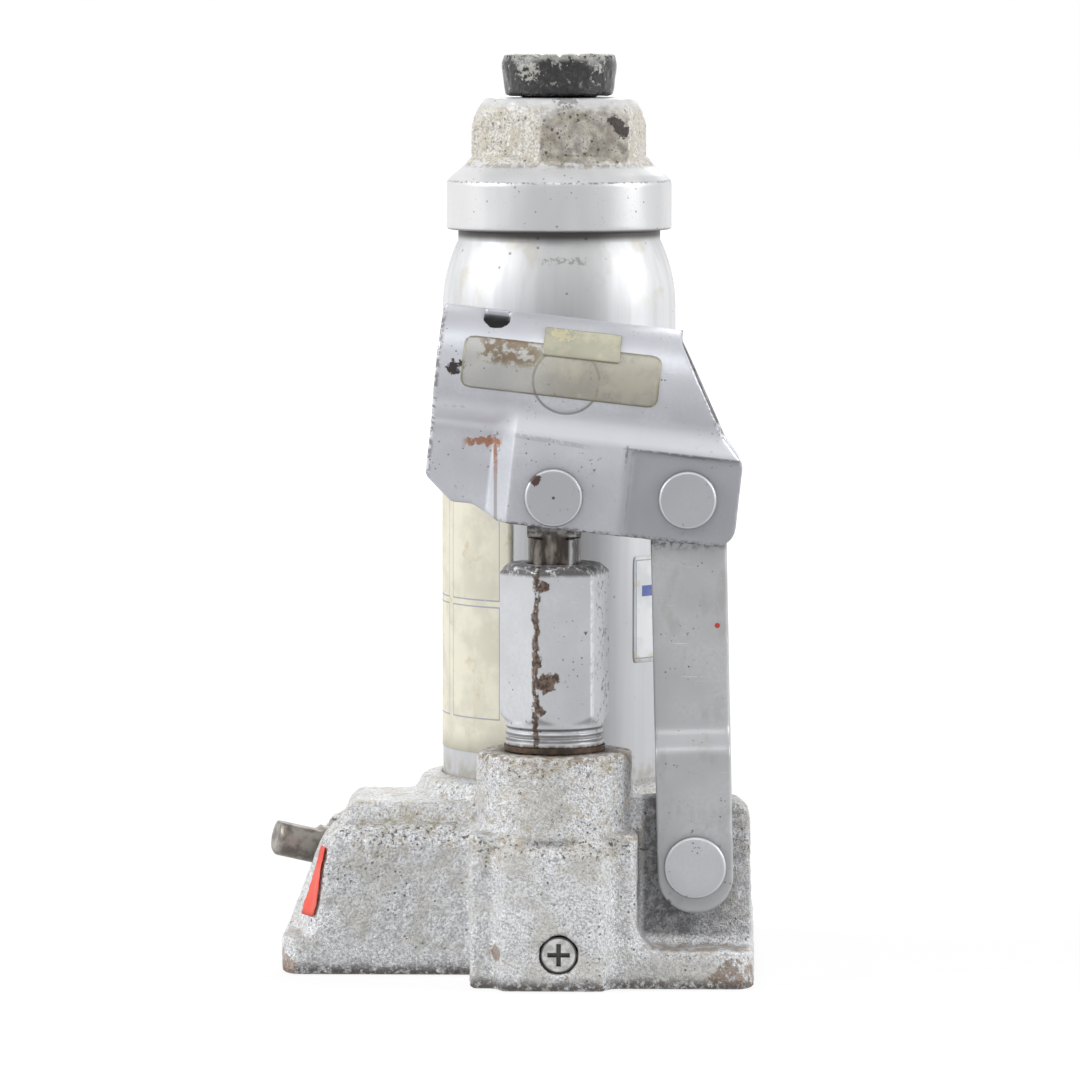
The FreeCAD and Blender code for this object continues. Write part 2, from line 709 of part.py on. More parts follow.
def piston_cup_nut():
    top = RAM_SHOULDER - BACKING - CUP_HEIGHT
    return ring(STEM_R + 3.6, STEM_R + RUN, top - CUP_NUT, top)


def extension_screw():
    """The screw and its saddle in one forging, with a toothed rim round a dish."""
    saddle = turned(
        [
            (0, SADDLE_BOTTOM, 0),
            (SADDLE_FOOT_R, SADDLE_BOTTOM, 0.8),
            (SADDLE_R, SADDLE_TOP - 2.4, 1.0),
            (SADDLE_R - 0.5, SADDLE_TOP, 0.5),
            (SADDLE_DISH_R, SADDLE_TOP, 0.4),
            (SADDLE_DISH_R - 1.2, SADDLE_TOP - SADDLE_DISH, 0.5),
            (0, SADDLE_TOP - SADDLE_DISH, 0),
        ]
    )
    shaft = turned(
        [
            (0, SCREW_BOTTOM - STOP_THICK - 1.2, 0),
            (STOP_NECK_R, SCREW_BOTTOM - STOP_THICK - 1.2, 0),
            (STOP_NECK_R, SCREW_BOTTOM, 0),
            (SCREW_R, SCREW_BOTTOM, 0.8),
            (SCREW_R, SADDLE_BOTTOM + 1, 0),
            (0, SADDLE_BOTTOM + 1, 0),
        ]
    )
    under = SCREW_BOTTOM - STOP_THICK
    rivet = ring(STOP_NECK_R + 0.8, STOP_NECK_R - 1, under - 1.2, under - SIDE)
    body = fused(saddle, shaft, rivet)
    notches = []
    for i in range(SADDLE_TEETH):
        turn = 360 * i / SADDLE_TEETH
        notch = Part.makePolygon([V(SADDLE_DISH_R - 1, y, z) for y, z in tooth_gap()])
        gap = Part.Face(notch).extrude(V(SADDLE_R, 0, 0))
        gap.rotate(V(0, 0, 0), UP, turn)
        notches.append(gap)
    return body.cut(notches)


def tooth_gap():
    """The V between two teeth of the saddle's rim, as (y, z) points."""
    half = math.pi * SADDLE_R / SADDLE_TEETH * 0.42
    top = SADDLE_TOP + 0.5
    return [(-half, top), (0, SADDLE_TOP - 1.1), (half, top), (-half, top)]


def screw_stop_ring():
    """The loose washer riveted under the screw. It meets the thread when the screw is fully out."""
    return ring(RAM_BORE_R - 2 * RUN, STOP_NECK_R + RUN, SCREW_BOTTOM - STOP_THICK, SCREW_BOTTOM - SIDE)


def pump_cylinder():
    """Hexagon body on a grooved neck, with a shank that screws into the boss."""
    corner_r = PUMP_HEX / 2 / math.cos(math.pi / 6)
    envelope = turned(
        [
            (0, PUMP_HEX_BOTTOM, 0),
            (PUMP_NECK_R, PUMP_HEX_BOTTOM, 0),
            (corner_r, PUMP_HEX_BOTTOM + 1.6, 0),
            (corner_r, PUMP_TOP - 1.6, 0),
            (PUMP_NECK_R - 0.6, PUMP_TOP, 0),
            (0, PUMP_TOP, 0),
        ],
        0,
        PUMP_Y,
    )
    body = hexagon(PUMP_HEX, PUMP_HEX_BOTTOM, PUMP_TOP, PUMP_HEX_TURN, 0, PUMP_Y).common(envelope)
    low = BOSS_TOP + PUMP_WASHER
    neck = cylinder(PUMP_NECK_R, low, PUMP_HEX_BOTTOM, 0, PUMP_Y)
    rise = (PUMP_HEX_BOTTOM - low) / 3
    grooves = [
        ring(PUMP_NECK_R + 1, PUMP_NECK_R - 0.6, low + rise * i - 0.3, low + rise * i + 0.3, 0, PUMP_Y)
        for i in (1, 2)
    ]
    shank = cylinder(SHANK_R, SHANK_BOTTOM, low, 0, PUMP_Y)
    bore = cylinder(PLUNGER_R + RUN, SHANK_BOTTOM - 1, PUMP_TOP + 1, 0, PUMP_Y)
    seal = cylinder(PUMP_SEAL_R, PUMP_TOP - PUMP_LIP - PUMP_SEAL_HEIGHT, PUMP_TOP - PUMP_LIP, 0, PUMP_Y)
    return fused(body, neck, shank).cut(grooves + [bore, seal])


def pump_cylinder_washer():
    return ring(PUMP_WASHER_R, SHANK_R + RUN, BOSS_TOP, BOSS_TOP + PUMP_WASHER, 0, PUMP_Y)


def pump_seat_washer():
    return ring(SHANK_R, PLUNGER_R + RUN, PUMP_CHAMBER_Z, SHANK_BOTTOM, 0, PUMP_Y)


def pump_gland_seal():
    low = PUMP_TOP - PUMP_LIP - PUMP_SEAL_HEIGHT
    return ring(PUMP_SEAL_R, PLUNGER_R + RUN, low, low + PUMP_SEAL_HEIGHT, 0, PUMP_Y)


def pump_plunger():
    """The plunger: a ground rod with a flat eye on top for the lever's pin."""
    shaft = cylinder(PLUNGER_R, PLUNGER_BOTTOM, EYE_BOTTOM, 0, PUMP_Y)
    stem = cylinder(PLUNGER_STEM_R, PLUNGER_BOTTOM - PLUNGER_CUP - 1, PLUNGER_BOTTOM, 0, PUMP_Y)
    under = PLUNGER_BOTTOM - PLUNGER_CUP
    rivet = cylinder(PLUNGER_STEM_R + 0.9, under - 1, under, 0, PUMP_Y)
    neck = block(
        (-EYE_BLOCK_HALF, PUMP_Y - EYE_HALF, EYE_BOTTOM),
        (EYE_BLOCK_HALF, PUMP_Y + EYE_HALF, PLUNGER_PIN_Z),
    )
    eye = rod(V(0, PUMP_Y - EYE_HALF, PLUNGER_PIN_Z), V(0, PUMP_Y + EYE_HALF, PLUNGER_PIN_Z), EYE_R)
    high = PIN_R + EYE_PLAY_UP
    slot = profile_plate(
        [
            (-EYE_PLAY_LEFT - PIN_R, PLUNGER_PIN_Z - high, PIN_R),
            (EYE_PLAY_RIGHT + PIN_R, PLUNGER_PIN_Z - high, PIN_R),
            (EYE_PLAY_RIGHT + PIN_R, PLUNGER_PIN_Z + high, PIN_R),
            (-EYE_PLAY_LEFT - PIN_R, PLUNGER_PIN_Z + high, PIN_R),
        ],
        PUMP_Y - EYE_HALF - 1,
        PUMP_Y + EYE_HALF + 1,
    )
    return fused(shaft, stem, rivet, neck, eye).cut(slot)


def plunger_cup_seal():
    low = PLUNGER_BOTTOM - PLUNGER_CUP
    return ring(PLUNGER_R, PLUNGER_STEM_R + RUN, low, PLUNGER_BOTTOM, 0, PUMP_Y)


def suction_ball():
    rise = math.sqrt(SUCTION_BALL_R**2 - PASSAGE_R**2) + SEAT
    return Part.makeSphere(SUCTION_BALL_R, V(SUCTION_X, PUMP_Y, SUCTION_SEAT_Z + rise))


def suction_ball_stop():
    """The spring ring that keeps the suction ball in its bore."""
    low, high = PUMP_CHAMBER_Z - 1, PUMP_CHAMBER_Z - SEAT
    return ring(SUCTION_BORE_R, SUCTION_BORE_R - 1, low, high, SUCTION_X, PUMP_Y)


def suction_strainer():
    y = -(CYLINDER_R + TUBE_BORE_R) / 2
    screen = cylinder(STRAINER_R, TANK_FLOOR - STRAINER_THICK, TANK_FLOOR, SUCTION_X, y)
    pitch = STRAINER_R * 0.55
    holes = [
        cylinder(STRAINER_R * 0.18, TANK_FLOOR - 2, TANK_FLOOR + 1, SUCTION_X + i * pitch, y + j * pitch)
        for i in (-1, 0, 1)
        for j in (-1, 0, 1)
        if abs(i) + abs(j) < 2
    ]
    return screen.cut(holes)


def delivery_ball():
    out = math.sqrt(DELIVERY_BALL_R**2 - PASSAGE_R**2) + SEAT
    return Part.makeSphere(DELIVERY_BALL_R, V(DELIVERY_X, -DELIVERY_SEAT - out, DELIVERY_Z))


def delivery_spring():
    start = PLUG_Y + PLUG_LENGTH - PLUG_POCKET + SPRING_WIRE + BALL_LIFT + SIDE
    out = math.sqrt(DELIVERY_BALL_R**2 - PASSAGE_R**2) + SEAT
    radius = DELIVERY_BALL_R * SPRING_SHARE
    rest = math.sqrt((DELIVERY_BALL_R + SPRING_WIRE + SEAT) ** 2 - radius**2)
    room = -DELIVERY_SEAT - out - rest - start
    return coil(radius, SPRING_WIRE, room, 4, V(DELIVERY_X, start, DELIVERY_Z), BACK)


def delivery_plug_screw():
    """The plug screw in the front of the boss, with a cross recess."""
    inner = PLUG_Y + PLUG_LENGTH
    body = delivery_rod(PLUG_Y, inner, PLUG_R)
    pocket = delivery_rod(inner - PLUG_POCKET, inner + 1, DELIVERY_BALL_R)
    arms = [pocket]
    for across, high in ((CROSS_ARM, CROSS_WIDTH / 2), (CROSS_WIDTH / 2, CROSS_ARM)):
        arms.append(
            block(
                (DELIVERY_X - across, PLUG_Y - 1, DELIVERY_Z - high),
                (DELIVERY_X + across, PLUG_Y + CROSS_DEPTH, DELIVERY_Z + high),
            )
        )
    return body.cut(arms)


def safety_valve_ball():
    rise = math.sqrt(SAFETY_BALL_R**2 - (PASSAGE_R / 2) ** 2) + SEAT
    return Part.makeSphere(SAFETY_BALL_R, V(0, SAFETY_Y, SAFETY_SEAT_Z + rise))


def safety_valve_spring():
    start = SAFETY_SEAT_Z + 2 * SAFETY_BALL_R
    room = TANK_FLOOR - SAFETY_SCREW - SPRING_WIRE - start
    return coil(SAFETY_BALL_R * 0.62, SPRING_WIRE, room, 3, V(0, SAFETY_Y, start), UP)


def safety_valve_screw():
    body = cylinder(SAFETY_BORE_R - RUN, TANK_FLOOR - SAFETY_SCREW, TANK_FLOOR - SIDE, 0, SAFETY_Y)
    return body.cut(block((-3, SAFETY_Y - 0.4, TANK_FLOOR - 1), (3, SAFETY_Y + 0.4, TANK_FLOOR + 1)))


def release_ball_place():
    return RELEASE_SEAT + math.sqrt(RELEASE_BALL_R**2 - PASSAGE_R**2) + SEAT


def release_valve_ball():
    return Part.makeSphere(RELEASE_BALL_R, release_point(release_ball_place()))


def release_valve_spindle():
    """The release screw. Two flats at its outer end take the notched end of the handle."""
    tip = release_ball_place() + RELEASE_BALL_R + SEAT
    shank = release_rod(tip, SPINDLE_END - SPINDLE_CHAMFER, SPINDLE_R)
    out = release_point(1) - release_point(0)
    cone_start = release_point(SPINDLE_END - SPINDLE_CHAMFER)
    end = Part.makeCone(SPINDLE_R, SPINDLE_R - SPINDLE_CHAMFER, SPINDLE_CHAMFER, cone_start, out)
    body = fused(shank, end)
    side = UP.cross(out).normalize()
    flat_start = release_point(SPINDLE_END - SPINDLE_FLAT_LENGTH)
    cuts = []
    for sign in (1, -1):
        corner = V(-SPINDLE_R, SPINDLE_FLATS / 2, 0)
        box = Part.makeBox(2 * SPINDLE_R, SPINDLE_R, SPINDLE_FLAT_LENGTH + 2, corner)
        turn = FreeCAD.Rotation(side, out.cross(side) * sign, out, "ZXY")
        box.Placement = FreeCAD.Placement(flat_start, turn)
        cuts.append(box)
    return body.cut(cuts)


def release_gland_nut():
    start = RELEASE_FACE - GLAND_NUT_LENGTH
    body = release_rod(start, RELEASE_FACE, GLAND_NUT_R)
    return body.cut(release_rod(start - 1, RELEASE_FACE + 1, SPINDLE_R + RUN))


def release_packing_ring():
    start = RELEASE_FACE - GLAND_NUT_LENGTH - RELEASE_RING_LENGTH
    body = release_rod(start, start + RELEASE_RING_LENGTH, GLAND_NUT_R)
    return body.cut(release_rod(start - 1, RELEASE_FACE, SPINDLE_R + RUN))


def omega_wire(cheek_out, fillet, u):
    """The socket's section at u: a round tube open at the bottom between two hanging cheeks."""
    cheek_in = cheek_out - SHEET
    centre_y = cheek_out + fillet
    centre_v = -math.sqrt((SOCKET_R + fillet) ** 2 - centre_y**2)
    waist = V(0, centre_y, centre_v)
    towards = (V(0, 0, 0) - waist).normalize()
    bottom = -SOCKET_DEPTH - 1

    def side(radius, cheek, bend):
        """From the cheek's foot to the tube, on the +Y side."""
        foot = V(0, cheek, bottom)
        line_end = V(0, cheek, centre_v)
        arc_end = waist + towards * bend
        sweep = (V(0, -1, 0) + towards).normalize()
        return foot, line_end, waist + sweep * bend, arc_end, V(0, 0, radius)

    def mirrored(p):
        return V(p.x, -p.y, p.z)

    outer = side(SOCKET_R, cheek_out, fillet)
    inner = side(SOCKET_BORE_R, cheek_in, fillet + SHEET)
    edges = []
    for foot, line_end, middle, arc_end, crown in (outer, inner):
        edges += [
            Part.LineSegment(foot, line_end).toShape(),
            Part.Arc(line_end, middle, arc_end).toShape(),
            Part.Arc(arc_end, crown, mirrored(arc_end)).toShape(),
            Part.Arc(mirrored(arc_end), mirrored(middle), mirrored(line_end)).toShape(),
            Part.LineSegment(mirrored(line_end), mirrored(foot)).toShape(),
        ]
    edges.append(Part.LineSegment(outer[0], inner[0]).toShape())
    edges.append(Part.LineSegment(mirrored(outer[0]), mirrored(inner[0])).toShape())
    wire = Part.Wire(Part.__sortEdges__(edges))
    wire.translate(V(u, 0, 0))
    return wire


def socket_place(shape):
    """Carries a shape from the socket's own frame to its place over the pump."""
    shape.rotate(V(0, 0, 0), BACK, SOCKET_TILT)
    shape.translate(V(0, PUMP_Y, SOCKET_AXIS_Z))
    return shape


def in_socket(x, z):
    """A point of the XZ plane in the socket's own frame."""
    tilt = math.radians(SOCKET_TILT)
    up = z - SOCKET_AXIS_Z
    return x * math.cos(tilt) - up * math.sin(tilt), x * math.sin(tilt) + up * math.cos(tilt)


def handle_socket():
    """One stamped sheet: tube for the handle, pinched flap at its mouth, cheeks for the two pins."""
    flap_out = SHEET + FLAP_SLIT / 2
    flap_end = -FLAP_RIGHT
    cheek_start = -FLAP_RIGHT + FLAP_BEND
    mouth_face = Part.Face(omega_wire(flap_out, FLAP_FILLET, -SOCKET_LEFT))
    mouth = mouth_face.extrude(V(SOCKET_LEFT - FLAP_RIGHT, 0, 0))
    bend = Part.makeLoft(
        [omega_wire(flap_out, FLAP_FILLET, flap_end), omega_wire(CHEEK_OUT, NECK_FILLET, cheek_start)], True, True
    )
    long_face = Part.Face(omega_wire(CHEEK_OUT, NECK_FILLET, cheek_start))
    long_part = long_face.extrude(V(SOCKET_RIGHT - cheek_start, 0, 0))
    sheet = fused(mouth, bend, long_part)
    reach = SOCKET_R + 1
    panel_low, panel_high = -SOCKET_DEPTH - 1, -PANEL_RISE
    for sign in (-1, 1):
        pressed = [
            sorted((sign * PANEL_CHEEK_OUT, sign * CHEEK_OUT)),
            sorted((sign * PANEL_CHEEK_IN, sign * CHEEK_IN)),
        ]
        (cut_low, cut_high), (add_low, add_high) = pressed
        added = block((PANEL_LEFT, add_low, panel_low), (SOCKET_RIGHT, add_high, panel_high + PANEL_PRESS))
        taken = block((PANEL_LEFT + SHEET / 2, cut_low, panel_low), (SOCKET_RIGHT + 1, cut_high, panel_high))
        sheet = sheet.fuse(added).cut(taken)
    outline = profile_plate(
        [
            (-SOCKET_LEFT, SOCKET_R + 1, 0),
            (CROWN_RIGHT, SOCKET_R + 1, 0),
            (CROWN_RIGHT, SOCKET_R - SHEET, 1.0),
            (SLANT_MIDDLE[0], SLANT_MIDDLE[1], 6.0),
            (SOCKET_RIGHT, SLANT_END, 1.5),
            (SOCKET_RIGHT, -SOCKET_DEPTH, 4.0),
            (-FLAP_HEEL, -SOCKET_DEPTH, 4.0),
            (-FLAP_STEP, -FLAP_CUT[1], 1.0),
            (-FLAP_CUT[0], -FLAP_CUT[1], 1.0),
            (-SOCKET_LEFT, -FLAP_CUT[1] + (SOCKET_LEFT - FLAP_CUT[0]) * 0.85, 1.5),
        ],
        -reach,
        reach,
    )
    sheet = sheet.common(outline)
    notch = plate(
        [
            (-NOTCH_U - NOTCH_WIDTH / 2, -NOTCH_REACH, NOTCH_WIDTH / 2 - 0.01),
            (-NOTCH_U + NOTCH_WIDTH / 2, -NOTCH_REACH, NOTCH_WIDTH / 2 - 0.01),
            (-NOTCH_U + NOTCH_WIDTH / 2, NOTCH_REACH, NOTCH_WIDTH / 2 - 0.01),
            (-NOTCH_U - NOTCH_WIDTH / 2, NOTCH_REACH, NOTCH_WIDTH / 2 - 0.01),
        ],
        0,
        SOCKET_R + 1,
    )
    holes = []
    for x, z in ((0, PLUNGER_PIN_Z), (LINK_TOP_X, LINK_TOP_Z)):
        u, v = in_socket(x, z)
        holes.append(rod(V(u, -reach, v), V(u, reach, v), PIN_R + SEAT))
    return socket_place(sheet.cut(holes + [notch]).removeSplitter())


def headed_pin(x, z, head_r, face):
    """A pin through faces at PUMP_Y plus and minus face, headed in front, grooved for a clip behind."""
    front = PUMP_Y - face - SEAT
    rear = PUMP_Y + face + SIDE
    head = rod(V(x, front - HEAD_THICK, z), V(x, front, z), head_r)
    face_y = front - HEAD_THICK
    rim = [e for e in head.Edges if abs(e.BoundBox.YMax - face_y) < 1e-6 and e.BoundBox.XLength > head_r]
    head = head.makeChamfer(0.4, rim)
    shaft = rod(V(x, front, z), V(x, rear + CLIP_THICK + PIN_END, z), PIN_R)
    groove = rod(V(x, rear, z), V(x, rear + CLIP_THICK, z), PIN_R + 1).cut(
        rod(V(x, rear - 1, z), V(x, rear + CLIP_THICK + 1, z), PIN_R - GROOVE_DEPTH)
    )
    return fused(head, shaft).cut(groove)


def snap_clip(x, z, face):
    """An open retaining ring in the groove behind the rear face."""
    start = PUMP_Y + face + SIDE + SEAT
    end = start + CLIP_THICK - 2 * SEAT
    hole = rod(V(x, start - 1, z), V(x, end + 1, z), PIN_R - GROOVE_DEPTH + SEAT)
    clip = rod(V(x, start, z), V(x, end, z), CLIP_R).cut(hole)
    mouth = block((x - PIN_R * 0.7, start - 1, z - CLIP_R - 1), (x + PIN_R * 0.7, end + 1, z))
    return clip.cut(mouth)


def plunger_pin():
    return headed_pin(0, PLUNGER_PIN_Z, UPPER_HEAD_R, CHEEK_OUT)


def upper_link_pin():
    return headed_pin(LINK_TOP_X, LINK_TOP_Z, UPPER_HEAD_R, PANEL_CHEEK_OUT)


def lower_link_pin():
    return headed_pin(LINK_FOOT_X, LINK_FOOT_Z, LOWER_HEAD_R, STRAP_FOOT_OUT)


def lever_pin_clips():
    clips = [snap_clip(0, PLUNGER_PIN_Z, CHEEK_OUT), snap_clip(LINK_TOP_X, LINK_TOP_Z, PANEL_CHEEK_OUT)]
    return Part.Compound(clips)


def lower_pin_clip():
    return snap_clip(LINK_FOOT_X, LINK_FOOT_Z, STRAP_FOOT_OUT)


def link_strap(sign):
    """A flat strap, cranked outwards above the lug. Sign is -1 for the front one and 1 for the rear."""
    run, rise = LINK_TOP_X - LINK_FOOT_X, LINK_TOP_Z - LINK_FOOT_Z
    length = math.hypot(run, rise)
    top = length + STRAP_HALF
    inner_top, inner_foot = STRAP_TOP_OUT - STRAP_THICK, STRAP_FOOT_OUT - STRAP_THICK
    crank = JOGGLE_RISE / 4
    side = [
        (inner_foot, -STRAP_END - 1, 0),
        (STRAP_FOOT_OUT, -STRAP_END - 1, 0),
        (STRAP_FOOT_OUT, JOGGLE_Z + crank, STRAP_THICK),
        (STRAP_TOP_OUT, JOGGLE_Z + JOGGLE_RISE, STRAP_THICK),
        (STRAP_TOP_OUT, top + 1, 0),
        (inner_top, top + 1, 0),
        (inner_top, JOGGLE_Z + JOGGLE_RISE - crank, STRAP_THICK),
        (inner_foot, JOGGLE_Z, STRAP_THICK),
    ]
    wire = rounded_wire(side, lambda y, w: V(-STRAP_HALF, sign * y, w))
    bar = Part.Face(wire).extrude(V(2 * STRAP_HALF, 0, 0))
    reach = STRAP_FOOT_OUT + 1
    outline = profile_plate(
        [
            (-STRAP_HALF, -STRAP_END, STRAP_HALF * 0.62),
            (STRAP_HALF, -STRAP_END, STRAP_HALF * 0.62),
            (STRAP_HALF, top, STRAP_HALF * 0.98),
            (-STRAP_HALF, top, STRAP_HALF * 0.98),
        ],
        -reach,
        reach,
    )
    holes = [rod(V(0, -reach, w), V(0, reach, w), PIN_R + RUN) for w in (0, length)]
    strap = bar.common(outline).cut(holes)
    strap.rotate(V(0, 0, 0), BACK, math.degrees(math.atan2(run, rise)))
    strap.translate(V(LINK_FOOT_X, PUMP_Y, LINK_FOOT_Z))
    return strap


def link_strap_front():
    return link_strap(-1)


def link_strap_rear():
    return link_strap(1)


PIECES = [
    base_casting,
    reservoir_tube,
    reservoir_base_seal,
    oil_filler_plug,
    pressure_cylinder,
    cylinder_base_gasket,
    top_cap,
    cap_seal_ring,
    ram_gland_seal,
    ram_wiper_ring,
    ram,
    piston_backing_washer,
    piston_cup_seal,
    piston_cup_nut,
    extension_screw,
    screw_stop_ring,
    pump_cylinder,
    pump_cylinder_washer,
    pump_seat_washer,
    pump_gland_seal,
    pump_plunger,
    plunger_cup_seal,
    suction_ball,
    suction_ball_stop,
    suction_strainer,
    delivery_ball,
    delivery_spring,
    delivery_plug_screw,
    safety_valve_ball,
    safety_valve_spring,
    safety_valve_screw,
    release_valve_ball,
    release_valve_spindle,
    release_gland_nut,
    release_packing_ring,
    handle_socket,
    plunger_pin,
    upper_link_pin,
    lower_link_pin,
    lever_pin_clips,
    lower_pin_clip,
    link_strap_front,
    link_strap_rear,
]

os.makedirs("parts", exist_ok=True)
for piece in PIECES:
    shape = piece()
    solids = shape.Solids
    shape = solids[0] if len(solids) == 1 else Part.Compound(solids)
    shape.exportStep(os.path.join("parts", piece.__name__ + ".step"))
    print(piece.__name__, len(solids), round(shape.Volume, 1), shape.isValid())
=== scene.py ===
# %% [markdown]
# # A bottle jack, dressed for its portrait
# The solids of the jack arrive ready made: every casting, tube, pin and strap is already the right
# size and in the right place. This lesson gives them the surfaces that years in a garage leave behind:
# silver paint over rough iron, chips, oil stains, rust in the corners and paper labels gone yellow.

# %% Load the frame
import json
import math

import bmesh
import bpy
from mathutils import Matrix, Vector, noise


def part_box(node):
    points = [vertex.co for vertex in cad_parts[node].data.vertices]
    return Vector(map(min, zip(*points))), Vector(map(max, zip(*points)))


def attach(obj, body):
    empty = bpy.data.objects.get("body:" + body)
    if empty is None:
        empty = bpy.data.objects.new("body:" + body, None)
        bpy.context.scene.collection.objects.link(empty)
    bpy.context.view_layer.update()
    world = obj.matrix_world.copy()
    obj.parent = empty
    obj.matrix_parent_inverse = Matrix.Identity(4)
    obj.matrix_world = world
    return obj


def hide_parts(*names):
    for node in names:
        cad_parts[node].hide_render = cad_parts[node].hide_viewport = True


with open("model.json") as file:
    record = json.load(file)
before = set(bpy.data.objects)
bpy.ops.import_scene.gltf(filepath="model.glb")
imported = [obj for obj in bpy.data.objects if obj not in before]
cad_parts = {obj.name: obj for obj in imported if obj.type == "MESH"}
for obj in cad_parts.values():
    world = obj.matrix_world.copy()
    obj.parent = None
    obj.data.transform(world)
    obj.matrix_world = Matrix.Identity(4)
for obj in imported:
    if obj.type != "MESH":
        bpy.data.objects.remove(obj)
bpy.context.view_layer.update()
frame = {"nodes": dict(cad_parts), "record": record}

MM = 0.001

# %% [markdown]
# ## Where the main things are
# A few places are needed again and again: the axis of the pump, the pins and the tube of the lever
# socket. They are read from the boxes of the solids where a box gives them, so that nothing floats if
# the jack changes. The socket has its own tilted frame: u runs along its tube, v across it.

# %% Places on the jack
PUMP_Y = sum(c.y for c in map(Vector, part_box("pump_cylinder"))) / 2
TANK_R = (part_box("reservoir_tube")[1][0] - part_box("reservoir_tube")[0][0]) / 2
SOCKET_R = (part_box("handle_socket")[1][1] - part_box("handle_socket")[0][1]) / 2
SOCKET_TILT = math.radians(6.4)
SOCKET_AXIS_Z = 119.2 * MM


def middle(node):
    low, high = map(Vector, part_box(node))
    return (low + high) / 2


def in_socket(u, side, v):
    """The place in the row frame of a point given in the socket's own tilted frame, in metres."""
    c, s = math.cos(SOCKET_TILT), math.sin(SOCKET_TILT)
    return Vector((u * c + v * s, PUMP_Y + side, SOCKET_AXIS_Z - u * s + v * c))


print("pump axis at y", round(PUMP_Y / MM, 2), "tank radius", round(TANK_R / MM, 2))

# %% [markdown]
# ## The camera
# The photograph was taken from more than a metre away with a long lens, a little above the top of the
# jack and looking slightly down. A long lens flattens the object, so the ellipses of cap and boss stay
# thin. The camera is fixed first because every later choice is judged through it.

# %% Camera
CAMERA_PLACE = Vector((32.6, -1350, 195.5)) * MM
CAMERA_AIM = Vector((-0.027, 1.0, -math.tan(math.radians(4.74))))
LENS = 225.0

camera_data = bpy.data.cameras.new("camera")
camera_data.lens = LENS
camera_data.sensor_width = 36.0
camera = bpy.data.objects.new("camera", camera_data)
camera.location = CAMERA_PLACE
camera.rotation_euler = CAMERA_AIM.to_track_quat("-Z", "Y").to_euler()
bpy.context.scene.collection.objects.link(camera)
bpy.context.scene.camera = camera
bpy.context.scene.view_settings.view_transform = "Standard"
print("camera", [round(v, 3) for v in camera.location])

# %% [markdown]
# ## Floor, backdrop and light
# The setting is a white sweep. The floor is white to the camera and to reflections, yet still a plain
# diffuse surface to everything else, so that it keeps a soft shadow under the jack. The share of plain
# white grows with distance, which hides the horizon. The light comes mostly from the two sides, as in a
# light tent, so that faces turned to the camera are a little darker than those turned left or right.

# %% Stage
FLOOR_SIZE = 12.0
SHADOW_SHARE = 0.25
SHADOW_NEAR, SHADOW_FAR = 0.14, 0.6
FLOOR_PALE, FLOOR_GLOW = 0.54, 1.15


def add_object(name, mesh):
    piece = bpy.data.objects.new(name, mesh)
    bpy.context.scene.collection.objects.link(piece)
    return piece


def white_to_camera(tree):
    """1 for camera, glossy and transmission rays, which should all see plain white."""
    path = tree.nodes.new("ShaderNodeLightPath")
    seen = path.outputs["Is Camera Ray"]
    for ray in ("Is Glossy Ray", "Is Transmission Ray"):
        either = tree.nodes.new("ShaderNodeMath")
        either.operation = "MAXIMUM"
        tree.links.new(seen, either.inputs[0])
        tree.links.new(path.outputs[ray], either.inputs[1])
        seen = either.outputs[0]
    return seen


def make_floor():
    form = bmesh.new()
    bmesh.ops.create_grid(form, x_segments=1, y_segments=1, size=FLOOR_SIZE / 2)
    mesh = bpy.data.meshes.new("floor")
    form.to_mesh(mesh)
    form.free()
    floor = add_object("floor", mesh)
    floor.location.z = -0.05 * MM
    material = bpy.data.materials.new("floor_white")
    material.use_nodes = True
    tree = material.node_tree
    bsdf = tree.nodes["Principled BSDF"]
    bsdf.inputs["Base Color"].default_value = (FLOOR_PALE, FLOOR_PALE, FLOOR_PALE, 1)
    bsdf.inputs["Roughness"].default_value = 0.9
    glow = tree.nodes.new("ShaderNodeEmission")
    glow.inputs["Color"].default_value = (1, 1, 1, 1)
    glow.inputs["Strength"].default_value = FLOOR_GLOW
    mix = tree.nodes.new("ShaderNodeMixShader")
    place = tree.nodes.new("ShaderNodeTexCoord")
    reach = tree.nodes.new("ShaderNodeVectorMath")
    reach.operation = "LENGTH"
    fade = tree.nodes.new("ShaderNodeMapRange")
    fade.interpolation_type = "SMOOTHSTEP"
    for key, value in enumerate((SHADOW_NEAR, SHADOW_FAR, 1 - SHADOW_SHARE, 1.0), start=1):
        fade.inputs[key].default_value = value
    share = tree.nodes.new("ShaderNodeMath")
    share.operation = "MULTIPLY"
    tree.links.new(place.outputs["Object"], reach.inputs[0])
    tree.links.new(reach.outputs["Value"], fade.inputs[0])
    tree.links.new(fade.outputs[0], share.inputs[1])
    tree.links.new(white_to_camera(tree), share.inputs[0])
    tree.links.new(share.outputs[0], mix.inputs[0])
    tree.links.new(bsdf.outputs[0], mix.inputs[1])
    tree.links.new(glow.outputs[0], mix.inputs[2])
    tree.links.new(mix.outputs[0], tree.nodes["Material Output"].inputs[0])
    mesh.materials.append(material)


